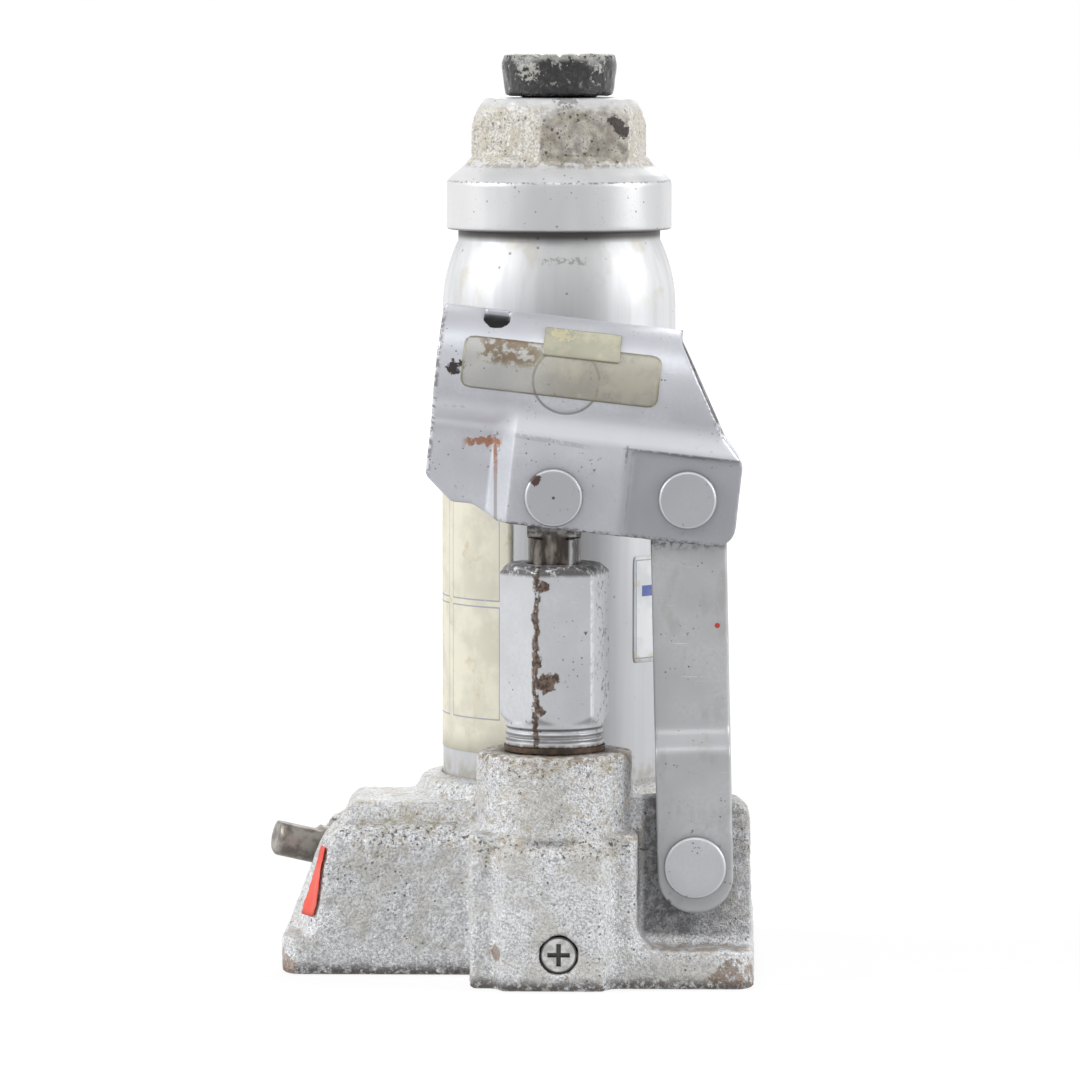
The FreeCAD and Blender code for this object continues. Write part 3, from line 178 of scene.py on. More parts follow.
def make_world(level):
    world = bpy.data.worlds.new("pale_world")
    world.use_nodes = True
    tree = world.node_tree
    sky = tree.nodes["Background"]
    sky.inputs["Color"].default_value = (1, 1, 1, 1)
    sky.inputs["Strength"].default_value = level
    white = tree.nodes.new("ShaderNodeBackground")
    white.inputs["Color"].default_value = (1, 1, 1, 1)
    mix = tree.nodes.new("ShaderNodeMixShader")
    tree.links.new(white_to_camera(tree), mix.inputs[0])
    tree.links.new(sky.outputs[0], mix.inputs[1])
    tree.links.new(white.outputs[0], mix.inputs[2])
    tree.links.new(mix.outputs[0], tree.nodes["World Output"].inputs[0])
    bpy.context.scene.world = world


def add_lamp(name, place, size, power):
    lamp = bpy.data.lights.new(name, "AREA")
    lamp.size = size
    lamp.energy = power
    holder = bpy.data.objects.new(name, lamp)
    holder.location = place
    aim = Vector((0, 0, 90 * MM)) - Vector(place)
    holder.rotation_euler = aim.to_track_quat("-Z", "Y").to_euler()
    bpy.context.scene.collection.objects.link(holder)


make_floor()
make_world(0.24)
add_lamp("left_lamp", (-1.0, -0.22, 0.62), 0.6, 10.4)
add_lamp("right_lamp", (1.0, -0.18, 0.5), 0.6, 8.3)
add_lamp("top_lamp", (0.0, -0.85, 1.25), 0.7, 3.6)
add_lamp("back_lamp", (0.1, 1.0, 0.8), 0.7, 4.0)

# %% [markdown]
# ## Shader sums as plain Python
# A worn surface is arithmetic: paint here, rust there, more dirt in the corners. Wiring Math nodes by
# hand hides that. The small class below wraps a socket so that ordinary operators add the nodes, and
# the second class is one coat being mixed, with the noises, spots and masks that all coats share. A coat
# starts with a blend of two tones, and every mark is then laid over the paint so far.

# %% Values and coats
class Value:
    """A number that changes over the surface. Operators on it add Math nodes."""

    def __init__(self, coat, socket):
        self.coat, self.socket = coat, socket

    def _sum(self, operation, first, second=0.0):
        return self.coat.node("ShaderNodeMath", {"operation": operation}, {0: first, 1: second})

    def __add__(self, other):
        return self._sum("ADD", self, other)

    def __sub__(self, other):
        return self._sum("SUBTRACT", self, other)

    def __rsub__(self, other):
        return self._sum("SUBTRACT", other, self)

    def __mul__(self, other):
        return self._sum("MULTIPLY", self, other)

    def __abs__(self):
        return self._sum("ABSOLUTE", self)

    __radd__, __rmul__ = __add__, __mul__

    def most(self, other):
        return self._sum("MAXIMUM", self, other)


def rgb(red, green, blue):
    """A colour given as 0 to 255, as the linear colour that a shader needs."""
    return tuple(((c / 255 + 0.055) / 1.055) ** 2.4 if c > 10 else c / 255 / 12.92 for c in (red, green, blue)) + (1,)


class Coat:
    """One material being mixed. Its x, y and z are places in millimetres, and paint is its colour so far."""

    def __init__(self, name, roughness=0.5, metallic=0.0):
        self.material = bpy.data.materials.new(name)
        self.material.use_nodes = True
        self.tree = self.material.node_tree
        self.bsdf = self.tree.nodes["Principled BSDF"]
        self.bsdf.inputs["Roughness"].default_value = roughness
        self.bsdf.inputs["Metallic"].default_value = metallic
        self.where = self.node("ShaderNodeTexCoord", {}, {}, "Object")
        self.place = self.vector("MULTIPLY", self.where, (1 / MM,) * 3)
        self.x, self.y, self.z = self.parts(self.place)
        self.up = self.parts(self.node("ShaderNodeTexCoord", {}, {}, "Normal"))[2]
        self.paint = None

    def node(self, kind, settings, inputs, out=0):
        """Adds a node with its settings first, then the values or links of its sockets."""
        made = self.tree.nodes.new(kind)
        for key, value in settings.items():
            setattr(made, key, value)
        for key, value in inputs.items():
            if isinstance(value, Value):
                self.tree.links.new(value.socket, made.inputs[key])
            else:
                made.inputs[key].default_value = value
        if isinstance(out, tuple):
            return tuple(Value(self, made.outputs[key]) for key in out)
        return Value(self, made.outputs[out])

    def parts(self, vector):
        return self.node("ShaderNodeSeparateXYZ", {}, {0: vector}, (0, 1, 2))

    def vector(self, operation, first, second=(0, 0, 0), out=0):
        return self.node("ShaderNodeVectorMath", {"operation": operation}, {0: first, 1: second}, out)

    def step(self, value, low, high):
        """0 below low and 1 above high, smooth between. With low above high it falls instead."""
        return self.node("ShaderNodeMapRange", {"interpolation_type": "SMOOTHSTEP"}, {0: value, 1: low, 2: high})

    def noise(self, size, detail=2.0, rough=0.55, grain=None):
        """Noise with features about size millimetres wide. grain stretches it along an axis."""
        where = self.node("ShaderNodeMapping", {}, {"Vector": self.where, "Scale": grain}) if grain else self.where
        inputs = {"Vector": where, "Scale": 1 / (size * MM), "Detail": detail, "Roughness": rough}
        return self.node("ShaderNodeTexNoise", {}, inputs)

    def specks(self, pitch, reach, share):
        """Round specks on a pitch in millimetres. Reach is their radius in pitches, share how many there are."""
        inputs = {"Vector": self.where, "Scale": 1 / (pitch * MM), "Randomness": 1.0}
        colour, apart = self.node("ShaderNodeTexVoronoi", {}, inputs, ("Color", "Distance"))
        chance = self.node("ShaderNodeSeparateColor", {}, {0: colour})
        return self.step(apart, reach, reach * 0.6) * self.step(chance, share + 0.02, share - 0.02)

    def scratches(self, turn, amount=0.73, fine=0.3):
        """Thin straight marks. Turn is an Euler angle that lays them, fine their width in millimetres."""
        inputs = {"Vector": self.where, "Rotation": turn, "Scale": (0.03, 1.0, 1.0)}
        laid = self.node("ShaderNodeMapping", {}, inputs)
        marks = self.node("ShaderNodeTexNoise", {}, {"Vector": laid, "Scale": 1 / (fine * MM), "Detail": 1.0})
        return self.step(marks, amount, amount + 0.06) * self.step(self.noise(9.0), 0.45, 0.62)

    def line(self, value, place, half):
        """1 where a value is within half of a place, fading to 0 at twice that."""
        return self.step(abs(value - place), half * 2, half)

    def spot(self, place, reach, ragged=0.0, size=1.5):
        """1 near a place, 0 beyond reach, both in millimetres. Ragged pushes the edge about with noise."""
        apart = self.vector("DISTANCE", self.place, place, "Value")
        if ragged:
            apart = apart + (self.noise(size) - 0.5) * (ragged * 2)
        return self.step(apart, reach, reach * 0.75)

    def across(self, place):
        """How many millimetres a point is from a place given in metres, seen from the front."""
        flat = self.vector("MULTIPLY", self.place, (1, 0, 1))
        return self.vector("DISTANCE", flat, (place[0] / MM, 0, place[2] / MM), "Value")

    def blend(self, below, above, share):
        """One colour over another. A Mix node keeps its colour sockets at places 6 and 7."""
        below, above = (c if isinstance(c, Value) else rgb(*c) for c in (below, above))
        return self.node("ShaderNodeMix", {"data_type": "RGBA"}, {0: share, 6: below, 7: above}, 2)

    def lay(self, colour, share):
        """Lays a colour over the paint where share is 1."""
        self.paint = self.blend(self.paint, colour, share)

    def corners(self, low=0.5, high=0.56):
        """1 on edges and peaks that stand out, from the bends of a fine mesh."""
        bends = self.node("ShaderNodeNewGeometry", {}, {}, "Pointiness")
        return self.step(bends, low, high)

    def finish(self, roughness=None, bump=None, depth=0.1, metallic=None):
        """Wires the coat up. Depth is the bump's height in millimetres."""
        for key, value in (("Base Color", self.paint), ("Roughness", roughness), ("Metallic", metallic)):
            if isinstance(value, Value):
                self.tree.links.new(value.socket, self.bsdf.inputs[key])
            elif value is not None:
                self.bsdf.inputs[key].default_value = value
        if bump is not None:
            inputs = {"Height": bump, "Distance": depth * MM, "Strength": 1.0}
            shade = self.node("ShaderNodeBump", {}, inputs)
            self.tree.links.new(shade.socket, self.bsdf.inputs["Normal"])
        return self.material


print("shader helpers ready")

# %% [markdown]
# ## Rounded copies of the sharp solids
# A drawn solid has edges like a razor, and no casting or pressing has. The way taken here is to copy a
# solid's mesh, merge its loose triangles, let the Remesh modifier lay an even skin of small squares
# over it, and smooth that skin, which rounds every edge by about its own width. The even skin can then
# be pushed in and out for casting grain, dents and threads, which a bare drawn face can't.

# %% Soft copies
slot_of = {part["node"]: part["material_slot"] for part in frame["record"]["subparts"]}
body_of = {node: body for body, nodes in frame["record"]["behaviour"]["bodies"].items() for node in nodes}


def merged_copy(node):
    """A bmesh of a solid's mesh, in the row frame, with its loose triangles joined."""
    form = bmesh.new()
    form.from_mesh(frame["nodes"][node].data)
    bmesh.ops.remove_doubles(form, verts=form.verts, dist=0.002 * MM)
    return form


def dress(piece, material):
    piece.data.materials.clear()
    piece.data.materials.append(material)


def soft_copy(node, name, material, voxel, smooth, shape=None, added=None):
    """A rounded copy that stands for a solid. shape(point, normal) gives each point's push, in metres.

    added(form) may put a closed lump of its own into the mesh before the skin is laid over both.
    """
    form = merged_copy(node)
    if added:
        added(form)
    mesh = bpy.data.meshes.new(name)
    form.to_mesh(mesh)
    form.free()
    piece = add_object(name, mesh)
    skin = piece.modifiers.new("skin", "REMESH")
    skin.mode = "VOXEL"
    skin.voxel_size = voxel * MM
    skin.use_smooth_shade = True
    baked = bpy.data.meshes.new_from_object(piece.evaluated_get(bpy.context.evaluated_depsgraph_get()))
    piece.modifiers.clear()
    piece.data = baked
    bpy.data.meshes.remove(mesh)
    baked.name = name
    form = bmesh.new()
    form.from_mesh(baked)
    for _ in range(smooth):
        bmesh.ops.smooth_vert(form, verts=form.verts, factor=0.5, use_axis_x=True, use_axis_y=True, use_axis_z=True)
    form.normal_update()
    if shape:
        pushes = [shape(v.co, v.normal) for v in form.verts]
        for vert, push in zip(form.verts, pushes):
            vert.co += vert.normal * push
    form.to_mesh(baked)
    form.free()
    baked.polygons.foreach_set("use_smooth", [True] * len(baked.polygons))
    dress(piece, material)
    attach(piece, body_of[node])
    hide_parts(node)
    print(name, 2 * len(baked.polygons), "triangles")
    return piece


def waves(point, size):
    """Even noise about zero with features of a size in millimetres."""
    return noise.noise(point / (size * MM))


# %% [markdown]
# ## Silver paint on sand-cast iron
# The base was poured in a sand mould, so its skin is a fine gravel, and one thin coat of aluminium
# paint covers it. The paint is pale on the grains and dark in the pits between them, yellow-brown where
# oil ran and dust stuck under the lips, and worn through to dark iron and rust at the lower edges.

# %% Cast paint
PLATE_TOP_Z, LEDGE_Z, BOSS_TOP_Z = 10.0, 30.0, 45.2


def cast_coat():
    """Grainy paint, then pits and oil, dirt under the lips, bare metal low down, rust in a few spots, and painted
    shade in the hollow behind the lug.
    """
    coat = Coat("cast_silver_paint", metallic=0.35)
    grains = coat.noise(0.5, 3.0, 0.7)
    coat.paint = coat.blend((174, 175, 178), (236, 237, 239), coat.step(grains, 0.36, 0.62))
    dust = coat.step(coat.noise(8.0, 4.0, 0.6), 0.44, 0.66)
    coat.lay((192, 188, 178), dust * 0.5)
    crowd = coat.step(coat.noise(7.0, 3.0, 0.6), 0.44, 0.62)
    pits = coat.specks(1.1, 0.26, 0.5) * (crowd * 0.9 + 0.06)
    fine = coat.specks(0.7, 0.28, 0.4) * (crowd * 0.6 + 0.2)
    coat.lay((84, 80, 76), pits.most(fine) * 0.85)
    high = coat.step(coat.z, 22, 28)
    blots = coat.step(coat.noise(1.0, 5.0, 0.7), 0.59, 0.64) * (high * 0.8 + 0.2)
    coat.lay((62, 56, 54), blots * 0.8)
    above = coat.step(coat.z, 17, 30)
    oil = coat.step(coat.noise(3.0, 5.0, 0.7), 0.52, 0.62) * above
    coat.lay((168, 152, 118), oil * 0.45)
    ragged = coat.noise(1.8, 4.0, 0.65)
    lip = coat.step(coat.z, BOSS_TOP_Z - 1.8, BOSS_TOP_Z) * coat.step(ragged, 0.44, 0.56)
    coat.lay((124, 98, 66), lip * 0.75)
    shelf = coat.step(coat.up, 0.35, 0.75) * coat.line(coat.z, LEDGE_Z, 0.9)
    coat.lay((140, 128, 96), shelf * coat.step(ragged, 0.47, 0.6) * 0.5)
    moss = coat.specks(2.2, 0.3, 0.16) * coat.step(coat.z, 23, 27) * coat.step(ragged, 0.46, 0.56)
    coat.lay((148, 144, 72), moss * 0.75)
    overlay_share = coat.step(coat.z, 3.6, 0.6) * coat.step(coat.noise(1.5, 5.0, 0.7), 0.38, 0.52)
    coat.lay((78, 70, 66), overlay_share * 0.9)
    darkening = coat.line(coat.z, LEDGE_Z - 2.4, 1.3).most(coat.line(coat.z, BOSS_TOP_Z - 2.2, 1.2) * 0.7)
    darkening = darkening * coat.step(coat.noise(0.9, 4.0, 0.7), 0.56, 0.62)
    coat.lay((70, 60, 50), darkening * 0.85)
    edges = coat.corners(0.53, 0.57) * coat.step(coat.noise(2.6, 4.0, 0.65), 0.46, 0.6)
    coat.lay((104, 96, 84), edges * 0.5)
    rust = coat.spot((-11.4, -51.3, 7.2), 1.9, 0.9)
    corner = coat.spot((35.0, -49.0, 1.0), 6.0, 3.0)
    rust = rust.most(corner * coat.step(ragged, 0.46, 0.54))
    sprinkle = coat.step(ragged, 0.62, 0.68) * coat.step(coat.z, 6, 3)
    rust = rust.most(sprinkle * coat.step(coat.noise(14.0), 0.48, 0.6))
    coat.lay((136, 104, 74), rust * 0.6)
    toe = coat.spot((-54.6, -31.0, 2.0), 3.6, 2.4)
    coat.lay((150, 116, 88), toe * 0.6)
    flat = coat.step(coat.up, 0.5, 0.85) * coat.step(coat.z, PLATE_TOP_Z, PLATE_TOP_Z - 1)
    coat.lay((150, 130, 108), flat * coat.step(coat.noise(4.0, 5.0, 0.65), 0.4, 0.62) * 0.7)
    # Painted shade in the hollow behind the lug, deepest to the left next to the boss.
    pocket_shade = coat.step(coat.x, 16.8, 18.0) * coat.step(coat.z, 8.8, 10.5)
    pocket_shade = pocket_shade * coat.step(coat.y, -26, -30)
    shade = coat.step(coat.noise(1.6, 4.0, 0.7), 0.4, 0.62) * 0.3 + coat.step(coat.x, 36, 24) * 0.45 + 0.12
    coat.lay((78, 78, 82), pocket_shade * shade)
    seat = coat.spot((0, PUMP_Y / MM, BOSS_TOP_Z + 0.5), 13.2, 1.2) * coat.step(coat.up, 0.6, 0.9)
    coat.lay((82, 66, 50), seat * coat.step(coat.z, BOSS_TOP_Z - 0.4, BOSS_TOP_Z) * 0.85)
    rough = 0.38 + rust * 0.3 + dust * 0.16
    relief = grains + coat.noise(0.3, 1.0) * 0.5 - pits * 0.8
    return coat.finish(rough, relief, 0.36)


cast_paint = cast_coat()
print("cast paint has", len(cast_paint.node_tree.nodes), "nodes")

# %% [markdown]
# ## The base casting
# The casting gets the coarsest skin. Its walls wave by a fifth of a millimetre and smaller grain sits on
# that, all of it pushed inwards, so that the dressed casting never outgrows the drawn one. The underside
# stays flat, because the jack stands on it, and so do the turned seats inside.

# %% Cast base
SOLE_Z, TANK_SEAT_Z = 0.8, 14.0


def cast_push(point, normal):
    seat = math.hypot(point.x, point.y) < TANK_R + 1.0 * MM and point.z > TANK_SEAT_Z * MM
    if point.z < SOLE_Z * MM or seat:
        return 0.0
    push = 0.20 * waves(point, 7.0) + 0.16 * waves(point, 1.9) + 0.14 * waves(point, 1.1) - 0.2
    return min(0.0, push) * MM


base = soft_copy("base_casting", "cast_base", cast_paint, 0.62, 3, cast_push)

# %% [markdown]
# ## Cap: a rough hexagon on a smooth skirt
# The cap is the big nut that holds the jack together. Its hexagon is as cast, with rounded corners,
# knocks from spanners and old dust in its pits, while the skirt below was turned in a lathe and
# painted, so it is satin and only scratched. One coat does both and changes over with height.

# %% Cap
SKIRT_FOOT_Z, SKIRT_RIM_Z, HEX_FOOT_Z = 146.6, 155.7, 159.8
HEX_FLAT_R = 16.0


def cap_coat():
    """Two paints, rough above the hexagon's foot and satin below it, mixed last by where a point is."""
    coat = Coat("cap_silver_paint", metallic=0.3)
    ragged = coat.noise(1.6, 4.0, 0.65)
    away = coat.vector("LENGTH", coat.vector("MULTIPLY", coat.place, (1, 1, 0)), out="Value")
    ups = coat.z + (ragged - 0.5) * 3.0
    brow = ups + (away - HEX_FLAT_R).most(0.0)
    cast = coat.step(ups, HEX_FOOT_Z - 0.8, HEX_FOOT_Z) * coat.step(brow, 171.8, 169.4)
    grains = coat.noise(0.55, 4.0, 0.7)
    rough_paint = coat.blend((172, 169, 162), (220, 217, 210), coat.step(grains, 0.38, 0.6))
    dust = coat.step(coat.noise(3.4, 4.0, 0.6), 0.46, 0.62)
    rough_paint = coat.blend(rough_paint, (184, 174, 154), dust * 0.5)
    # The facet facing the front is darkened all over as painted shade, with patches of dirt on top.
    centre = coat.step(coat.x, -3.6, -3.1) * coat.step(coat.x, 14.2, 13.6)
    centre = centre * coat.step(coat.y, -9, -11)
    darkening = centre * (coat.step(coat.noise(2.2, 5.0, 0.65), 0.42, 0.6) * 0.5 + 0.2)
    rough_paint = coat.blend(rough_paint, (116, 108, 96), darkening)
    specks = coat.specks(1.3, 0.3, 0.36).most(coat.specks(0.7, 0.3, 0.4) * 0.6)
    rough_paint = coat.blend(rough_paint, (82, 72, 62), specks * (centre * 0.3 + 0.55))
    clouds = coat.noise(12.0, 2.0, grain=(1, 1, 0.3))
    satin = coat.blend((198, 199, 200), (216, 216, 217), coat.step(clouds, 0.34, 0.66))
    marks = coat.scratches((0.2, 0.5, 0.9)).most(coat.scratches((1.1, 0.2, 2.2)) * 0.8)
    fine = coat.specks(1.4, 0.2, 0.16)
    rubs = coat.step(coat.noise(1.1, 5.0, 0.7), 0.63, 0.68) * coat.step(coat.noise(5.0), 0.52, 0.62)
    satin = coat.blend(satin, (112, 106, 100), (marks * 0.6).most(fine * 0.7).most(rubs * 0.8))
    brim = coat.line(coat.z, SKIRT_RIM_Z, 0.13) * coat.step(coat.noise(0.9, 4.0, 0.65), 0.46, 0.6)
    satin = coat.blend(satin, (92, 82, 70), brim * 0.65)
    foot = coat.line(coat.z, HEX_FOOT_Z + 0.2, 0.9) * coat.step(ragged, 0.42, 0.58)
    satin = coat.blend(satin, (112, 98, 78), foot * 0.7)
    # Painted shadow under the skirt: its lower edge and inside are darkened.
    under = coat.step(coat.z, SKIRT_FOOT_Z, SKIRT_FOOT_Z - 0.5)
    satin = coat.blend(satin, (70, 62, 54), under * 0.85)
    coat.paint = coat.blend(satin, rough_paint, cast)
    # Pale hexagon edges: partly a painted highlight, partly pale wear.
    edge = coat.corners(0.54, 0.6) * coat.step(coat.z, HEX_FOOT_Z, HEX_FOOT_Z + 1)
    coat.lay((236, 234, 229), edge * coat.step(ragged, 0.4, 0.54) * 0.7)
    knock = coat.spot((11.1, -13.0, 167.8), 1.2, 1.3, 0.8)
    for place in ((12.2, -12.6, 166.7), (13.2, -12.3, 165.6)):
        knock = knock.most(coat.spot(place, 1.4, 1.4, 0.8))
    knock = knock.most(coat.spot((1.6, -14.2, 172.2), 2.2, 2.4, 0.8) * 0.6)
    coat.lay((56, 50, 48), knock * 0.9)
    rough = 0.3 + cast * 0.3 + coat.noise(1.5) * 0.12
    relief = (grains * 0.9 - specks * 0.5) * cast + coat.noise(0.5) * 0.08
    return coat.finish(rough, relief, 0.3)


def cap_push(point, normal):
    outside = math.hypot(point.x, point.y) > 13.2 * MM
    height = point.z / MM - HEX_FOOT_Z
    if height < 0 or not outside:
        return 0.0
    return (0.12 * waves(point, 3.4) + 0.10 * waves(point, 1.3) - 0.03) * MM * min(1.0, height)


cap = soft_copy("top_cap", "cap_nut", cap_coat(), 0.36, 1, cap_push)

# %% [markdown]
# ## Saddle and extension screw
# The saddle is the toothed cup that meets the car. Its black paint is knocked off the rim and filled
# with grey in the pits. Below it a coarse thread lets the screw be wound out of the ram. The thread is
# a spiral, and on an even skin a spiral is only a push that depends on height and turn together.

# %% Saddle and its thread
THREAD_PITCH = 3.0 * MM
THREAD_DEPTH = 0.8
SHANK_TOP_Z = 171.6


def saddle_coat():
    coat = Coat("worn_black_paint", roughness=0.4)
    grains = coat.noise(0.9, 3.0, 0.6)
    black = coat.blend((26, 26, 29), (58, 57, 60), coat.step(grains, 0.4, 0.68))
    bare = coat.step(coat.noise(1.5, 5.0, 0.65), 0.6, 0.64) * coat.step(coat.z, 173.6, 176) * 0.8
    # Painted highlights: two pale patches high on the cup, at the left and the right.
    patches = coat.spot((-6.2, -9.7, 177.9), 2.6, 2.2, 1.1)
    patches = patches.most(coat.spot((8.1, -8.2, 178.0), 1.3, 1.8, 1.0))
    patches = patches * coat.step(grains, 0.4, 0.52)
    rim = coat.step(coat.z, 179.2, 180.4) * coat.step(coat.noise(1.8, 3.0, 0.6), 0.42, 0.54)
    # This mask mixes paint knocked off the rim, teeth and edges with the painted highlights.
    overlay_share = bare.most(rim * 0.85).most(coat.corners(0.55, 0.62) * coat.step(grains, 0.45, 0.6) * 0.6).most(patches)
    coat.paint = coat.blend(black, (186, 185, 178), overlay_share * 0.85)
    shank = coat.step(coat.z, SHANK_TOP_Z + 0.6, SHANK_TOP_Z)
    oily = coat.blend((70, 66, 60), (128, 124, 116), coat.step(coat.noise(2.5, 3.0), 0.4, 0.65))
    coat.lay(oily, shank)
    rust = coat.step(coat.noise(1.6, 4.0, 0.6), 0.6, 0.7) * coat.step(coat.z, 174, 172.6)
    coat.lay((104, 66, 42), rust * 0.6)
    return coat.finish(0.26 + overlay_share * 0.3, grains + overlay_share * -0.3, 0.12, shank * 0.8)


def saddle_push(point, normal):
    below = SHANK_TOP_Z - point.z / MM
    if below < 0:
        return min(0.0, 0.16 * waves(point, 3.0) + 0.10 * waves(point, 1.2) - 0.16) * MM
    side = math.hypot(point.x, point.y)
    if side < 6.3 * MM or abs(normal.z) > 0.5:
        return 0.0
    turn = math.atan2(point.y, point.x) / math.tau
    along = (point.z / THREAD_PITCH - turn) % 1.0
    groove = min(1.0, max(0.0, 2.4 * abs(2 * along - 1) - 0.7))
    return -(1 - groove) * THREAD_DEPTH * MM * min(1.0, below)


saddle = soft_copy("extension_screw", "toothed_saddle", saddle_coat(), 0.36, 2, saddle_push)

# %% [markdown]
# ## Paint on pressed sheet and bright parts
# The lever socket, the link straps, the pump's hexagon and the pin heads share one bluish silver paint.
# It is smooth, a little cloudy, peppered with tiny dark specks and scratched, and dark where the edges
# rubbed bare. One function mixes it, and each part adds its own marks: its own wear, and on the socket
# and the pump painted shade and highlights as well.

# %% Sheet paint
def sheet_coat(name, pale, extra, specks=0.3, edge=0.8):
    """extra(coat) lays a part's own marks over the shared paint."""
    coat = Coat(name, metallic=0.3)
    clouds = coat.noise(14.0, 2.0, 0.5)
    coat.paint = coat.blend(tuple(c * 0.92 for c in pale), pale, coat.step(clouds, 0.32, 0.66))
    mottle = coat.step(coat.noise(0.8, 3.0), 0.42, 0.6)
    coat.lay(tuple(c * 0.94 for c in pale), mottle * 0.5)
    crowd = coat.step(coat.noise(6.0, 3.0, 0.6), 0.5, 0.62)
    dots = coat.specks(0.9, 0.26, specks) * (crowd * 0.95 + 0.05)
    coat.lay((64, 60, 62), dots * 0.8)
    chips = coat.step(coat.noise(1.4, 5.0, 0.68), 0.64, 0.67) * crowd
    coat.lay((66, 58, 56), chips * 0.85)
    marks = coat.scratches((0.3, 0.7, 0.4)).most(coat.scratches((1.3, 0.4, 2.0)))
    coat.lay((236, 237, 240), marks * 0.45)
    patches = coat.corners(0.54, 0.6) * coat.step(coat.noise(2.4, 4.0, 0.65), 0.46, 0.58)
    coat.lay((88, 82, 80), patches * edge)
    extra(coat)
    rough = 0.34 + coat.noise(3.0, 2.0) * 0.14
    relief = coat.noise(0.8, 2.0) * 0.6 - dots * 0.5 - chips
    return coat.finish(rough, relief, 0.05)


PALE_SILVER = (212, 214, 221)

# %% [markdown]
# ## The lever socket
# The socket is one stamped sheet, folded over a handle into a tube with two cheeks. Its own marks are
# rust under the pinched flap, one deep chip by the mouth, and a plain ring pressed into the tube. Painted
# shade and light stand in for the shading of its crown, folds, pressed panel and lower cheek, and for the
# dark inside of the tube.

# %% Lever socket
RING_U, RING_V, RING_R = 2.6, -0.6, 6.4
PANEL_U, PANEL_V = 15.8, -12.5
FLAP_SEAM_X, FLAP_TOP_Z = -11.4, 106.2
NOTCH_LOW_U, NOTCH_HIGH_U = -15.6, -8.8


def tube_places(x, z):
    """How far a place is along the socket's tube and across it, all in millimetres."""
    c, s = math.cos(SOCKET_TILT), math.sin(SOCKET_TILT)
    rise = z - SOCKET_AXIS_Z / MM
    return x * c - rise * s, x * s + rise * c


def socket_marks(coat):
    """The painted shade and light of crown, folds, pressed panel, lower cheek and inner wall first, and then rust,
    edge wear, ring and chip.
    """
    ragged = coat.noise(1.1, 4.0, 0.65)
    u, v = tube_places(coat.x, coat.z)
    front = coat.step(coat.y, -38.4, -39.2)
    # Painted shade on the crown of the tube.
    crown = coat.step(v, 6.0, 10.0)
    coat.lay((172, 173, 180), crown * 0.45)
    # Painted light on the band where the tube turns into the cheek.
    under = coat.step(v, -5.5, -8.5) * coat.step(v, -13.0, -11.0)
    coat.lay((242, 243, 248), under * front * 0.75)
    # Painted shade on the inner wall of the tube, seen through the notch and the mouth.
    side, wall = coat.y - PUMP_Y / MM, SOCKET_R / MM - 1.0
    inside = coat.step(side * side + v * v, wall ** 2, (wall - 0.4) ** 2) * coat.step(v, -7.0, -6.0)
    coat.lay((88, 85, 84), inside * 0.85)
    # Painted shade on the pressed-in panel, and in the creases at its edges.
    pressed = coat.step(u, PANEL_U - 1.2, PANEL_U + 1.2) * coat.step(v, PANEL_V + 0.4, PANEL_V - 0.4)
    coat.lay((150, 151, 156), pressed * front * 0.75)
    crease = coat.line(u, PANEL_U, 0.16) * coat.step(v, PANEL_V + 1, PANEL_V) * coat.step(v, PANEL_V - 5, PANEL_V - 1)
    crease = crease.most(coat.line(v, PANEL_V, 0.14) * coat.step(u, PANEL_U - 1, PANEL_U) * 0.7)
    coat.lay((96, 92, 92), crease * coat.step(ragged, 0.36, 0.5) * front * 0.7)
    # Painted shade along the soft step between tube and cheek, above the plunger's pin.
    fold = coat.line(v + u * 0.05, -12.6, 0.3) * coat.step(u, -7.0, -5.5)
    fold = fold * coat.step(u, 10.0, 6.0) * coat.step(ragged, 0.36, 0.5)
    coat.lay((140, 140, 146), fold * front * 0.35)
    # Painted shade on the lower cheek.
    low = coat.step(v, -13.0, -19.0) * coat.step(u, -11.5, -8.5) * front
    coat.lay((162, 163, 169), low * 0.42)
    seam = coat.line(coat.x, FLAP_SEAM_X, 0.22) * coat.step(coat.z, 105.5, 104.5) * front
    coat.lay((116, 108, 102), seam * 0.6)
    top = coat.line(coat.z + (ragged - 0.5) * 4.0, FLAP_TOP_Z, 0.45)
    top = top * coat.step(coat.x, -18.4, -16.4) * coat.step(coat.x, -9.8, -10.8)
    top = top.most(coat.spot((-12.6, -41.6, 105.9), 1.8, 2.2, 0.8))
    run = coat.line(coat.x, FLAP_SEAM_X, 0.3) * coat.step(coat.z, 97, 104)
    run = run * coat.step(coat.z, 107, 106)
    rust = top.most(run * coat.step(ragged, 0.42, 0.52) * 0.8)
    coat.lay((164, 98, 52), rust * front * 0.85)
    edge = coat.step(u, -21.6, -22.6).most(coat.step(v, -28.6, -29.5))
    slant = (u - 24.0) * 0.8886 + (v - 11.25) * 0.4588
    edge = edge.most(coat.step(slant, -1.1, -0.2) * coat.step(v, -9.5, -8.0))
    coat.lay((94, 86, 82), edge * coat.step(ragged, 0.46, 0.56) * 0.8)
    apart = coat.across(in_socket(RING_U * MM, 0, RING_V * MM))
    ring = coat.line(apart, RING_R, 0.16) * coat.step(coat.y, -44, -45)
    coat.lay((128, 126, 128), ring * 0.75)
    gouge = coat.spot((-19.3, -48.0, 121.0), 1.7, 1.1, 0.9)
    gouge = gouge.most(coat.spot((-17.6, -48.0, 121.7), 1.1, 0.9, 0.8))
    coat.lay((52, 46, 46), gouge)


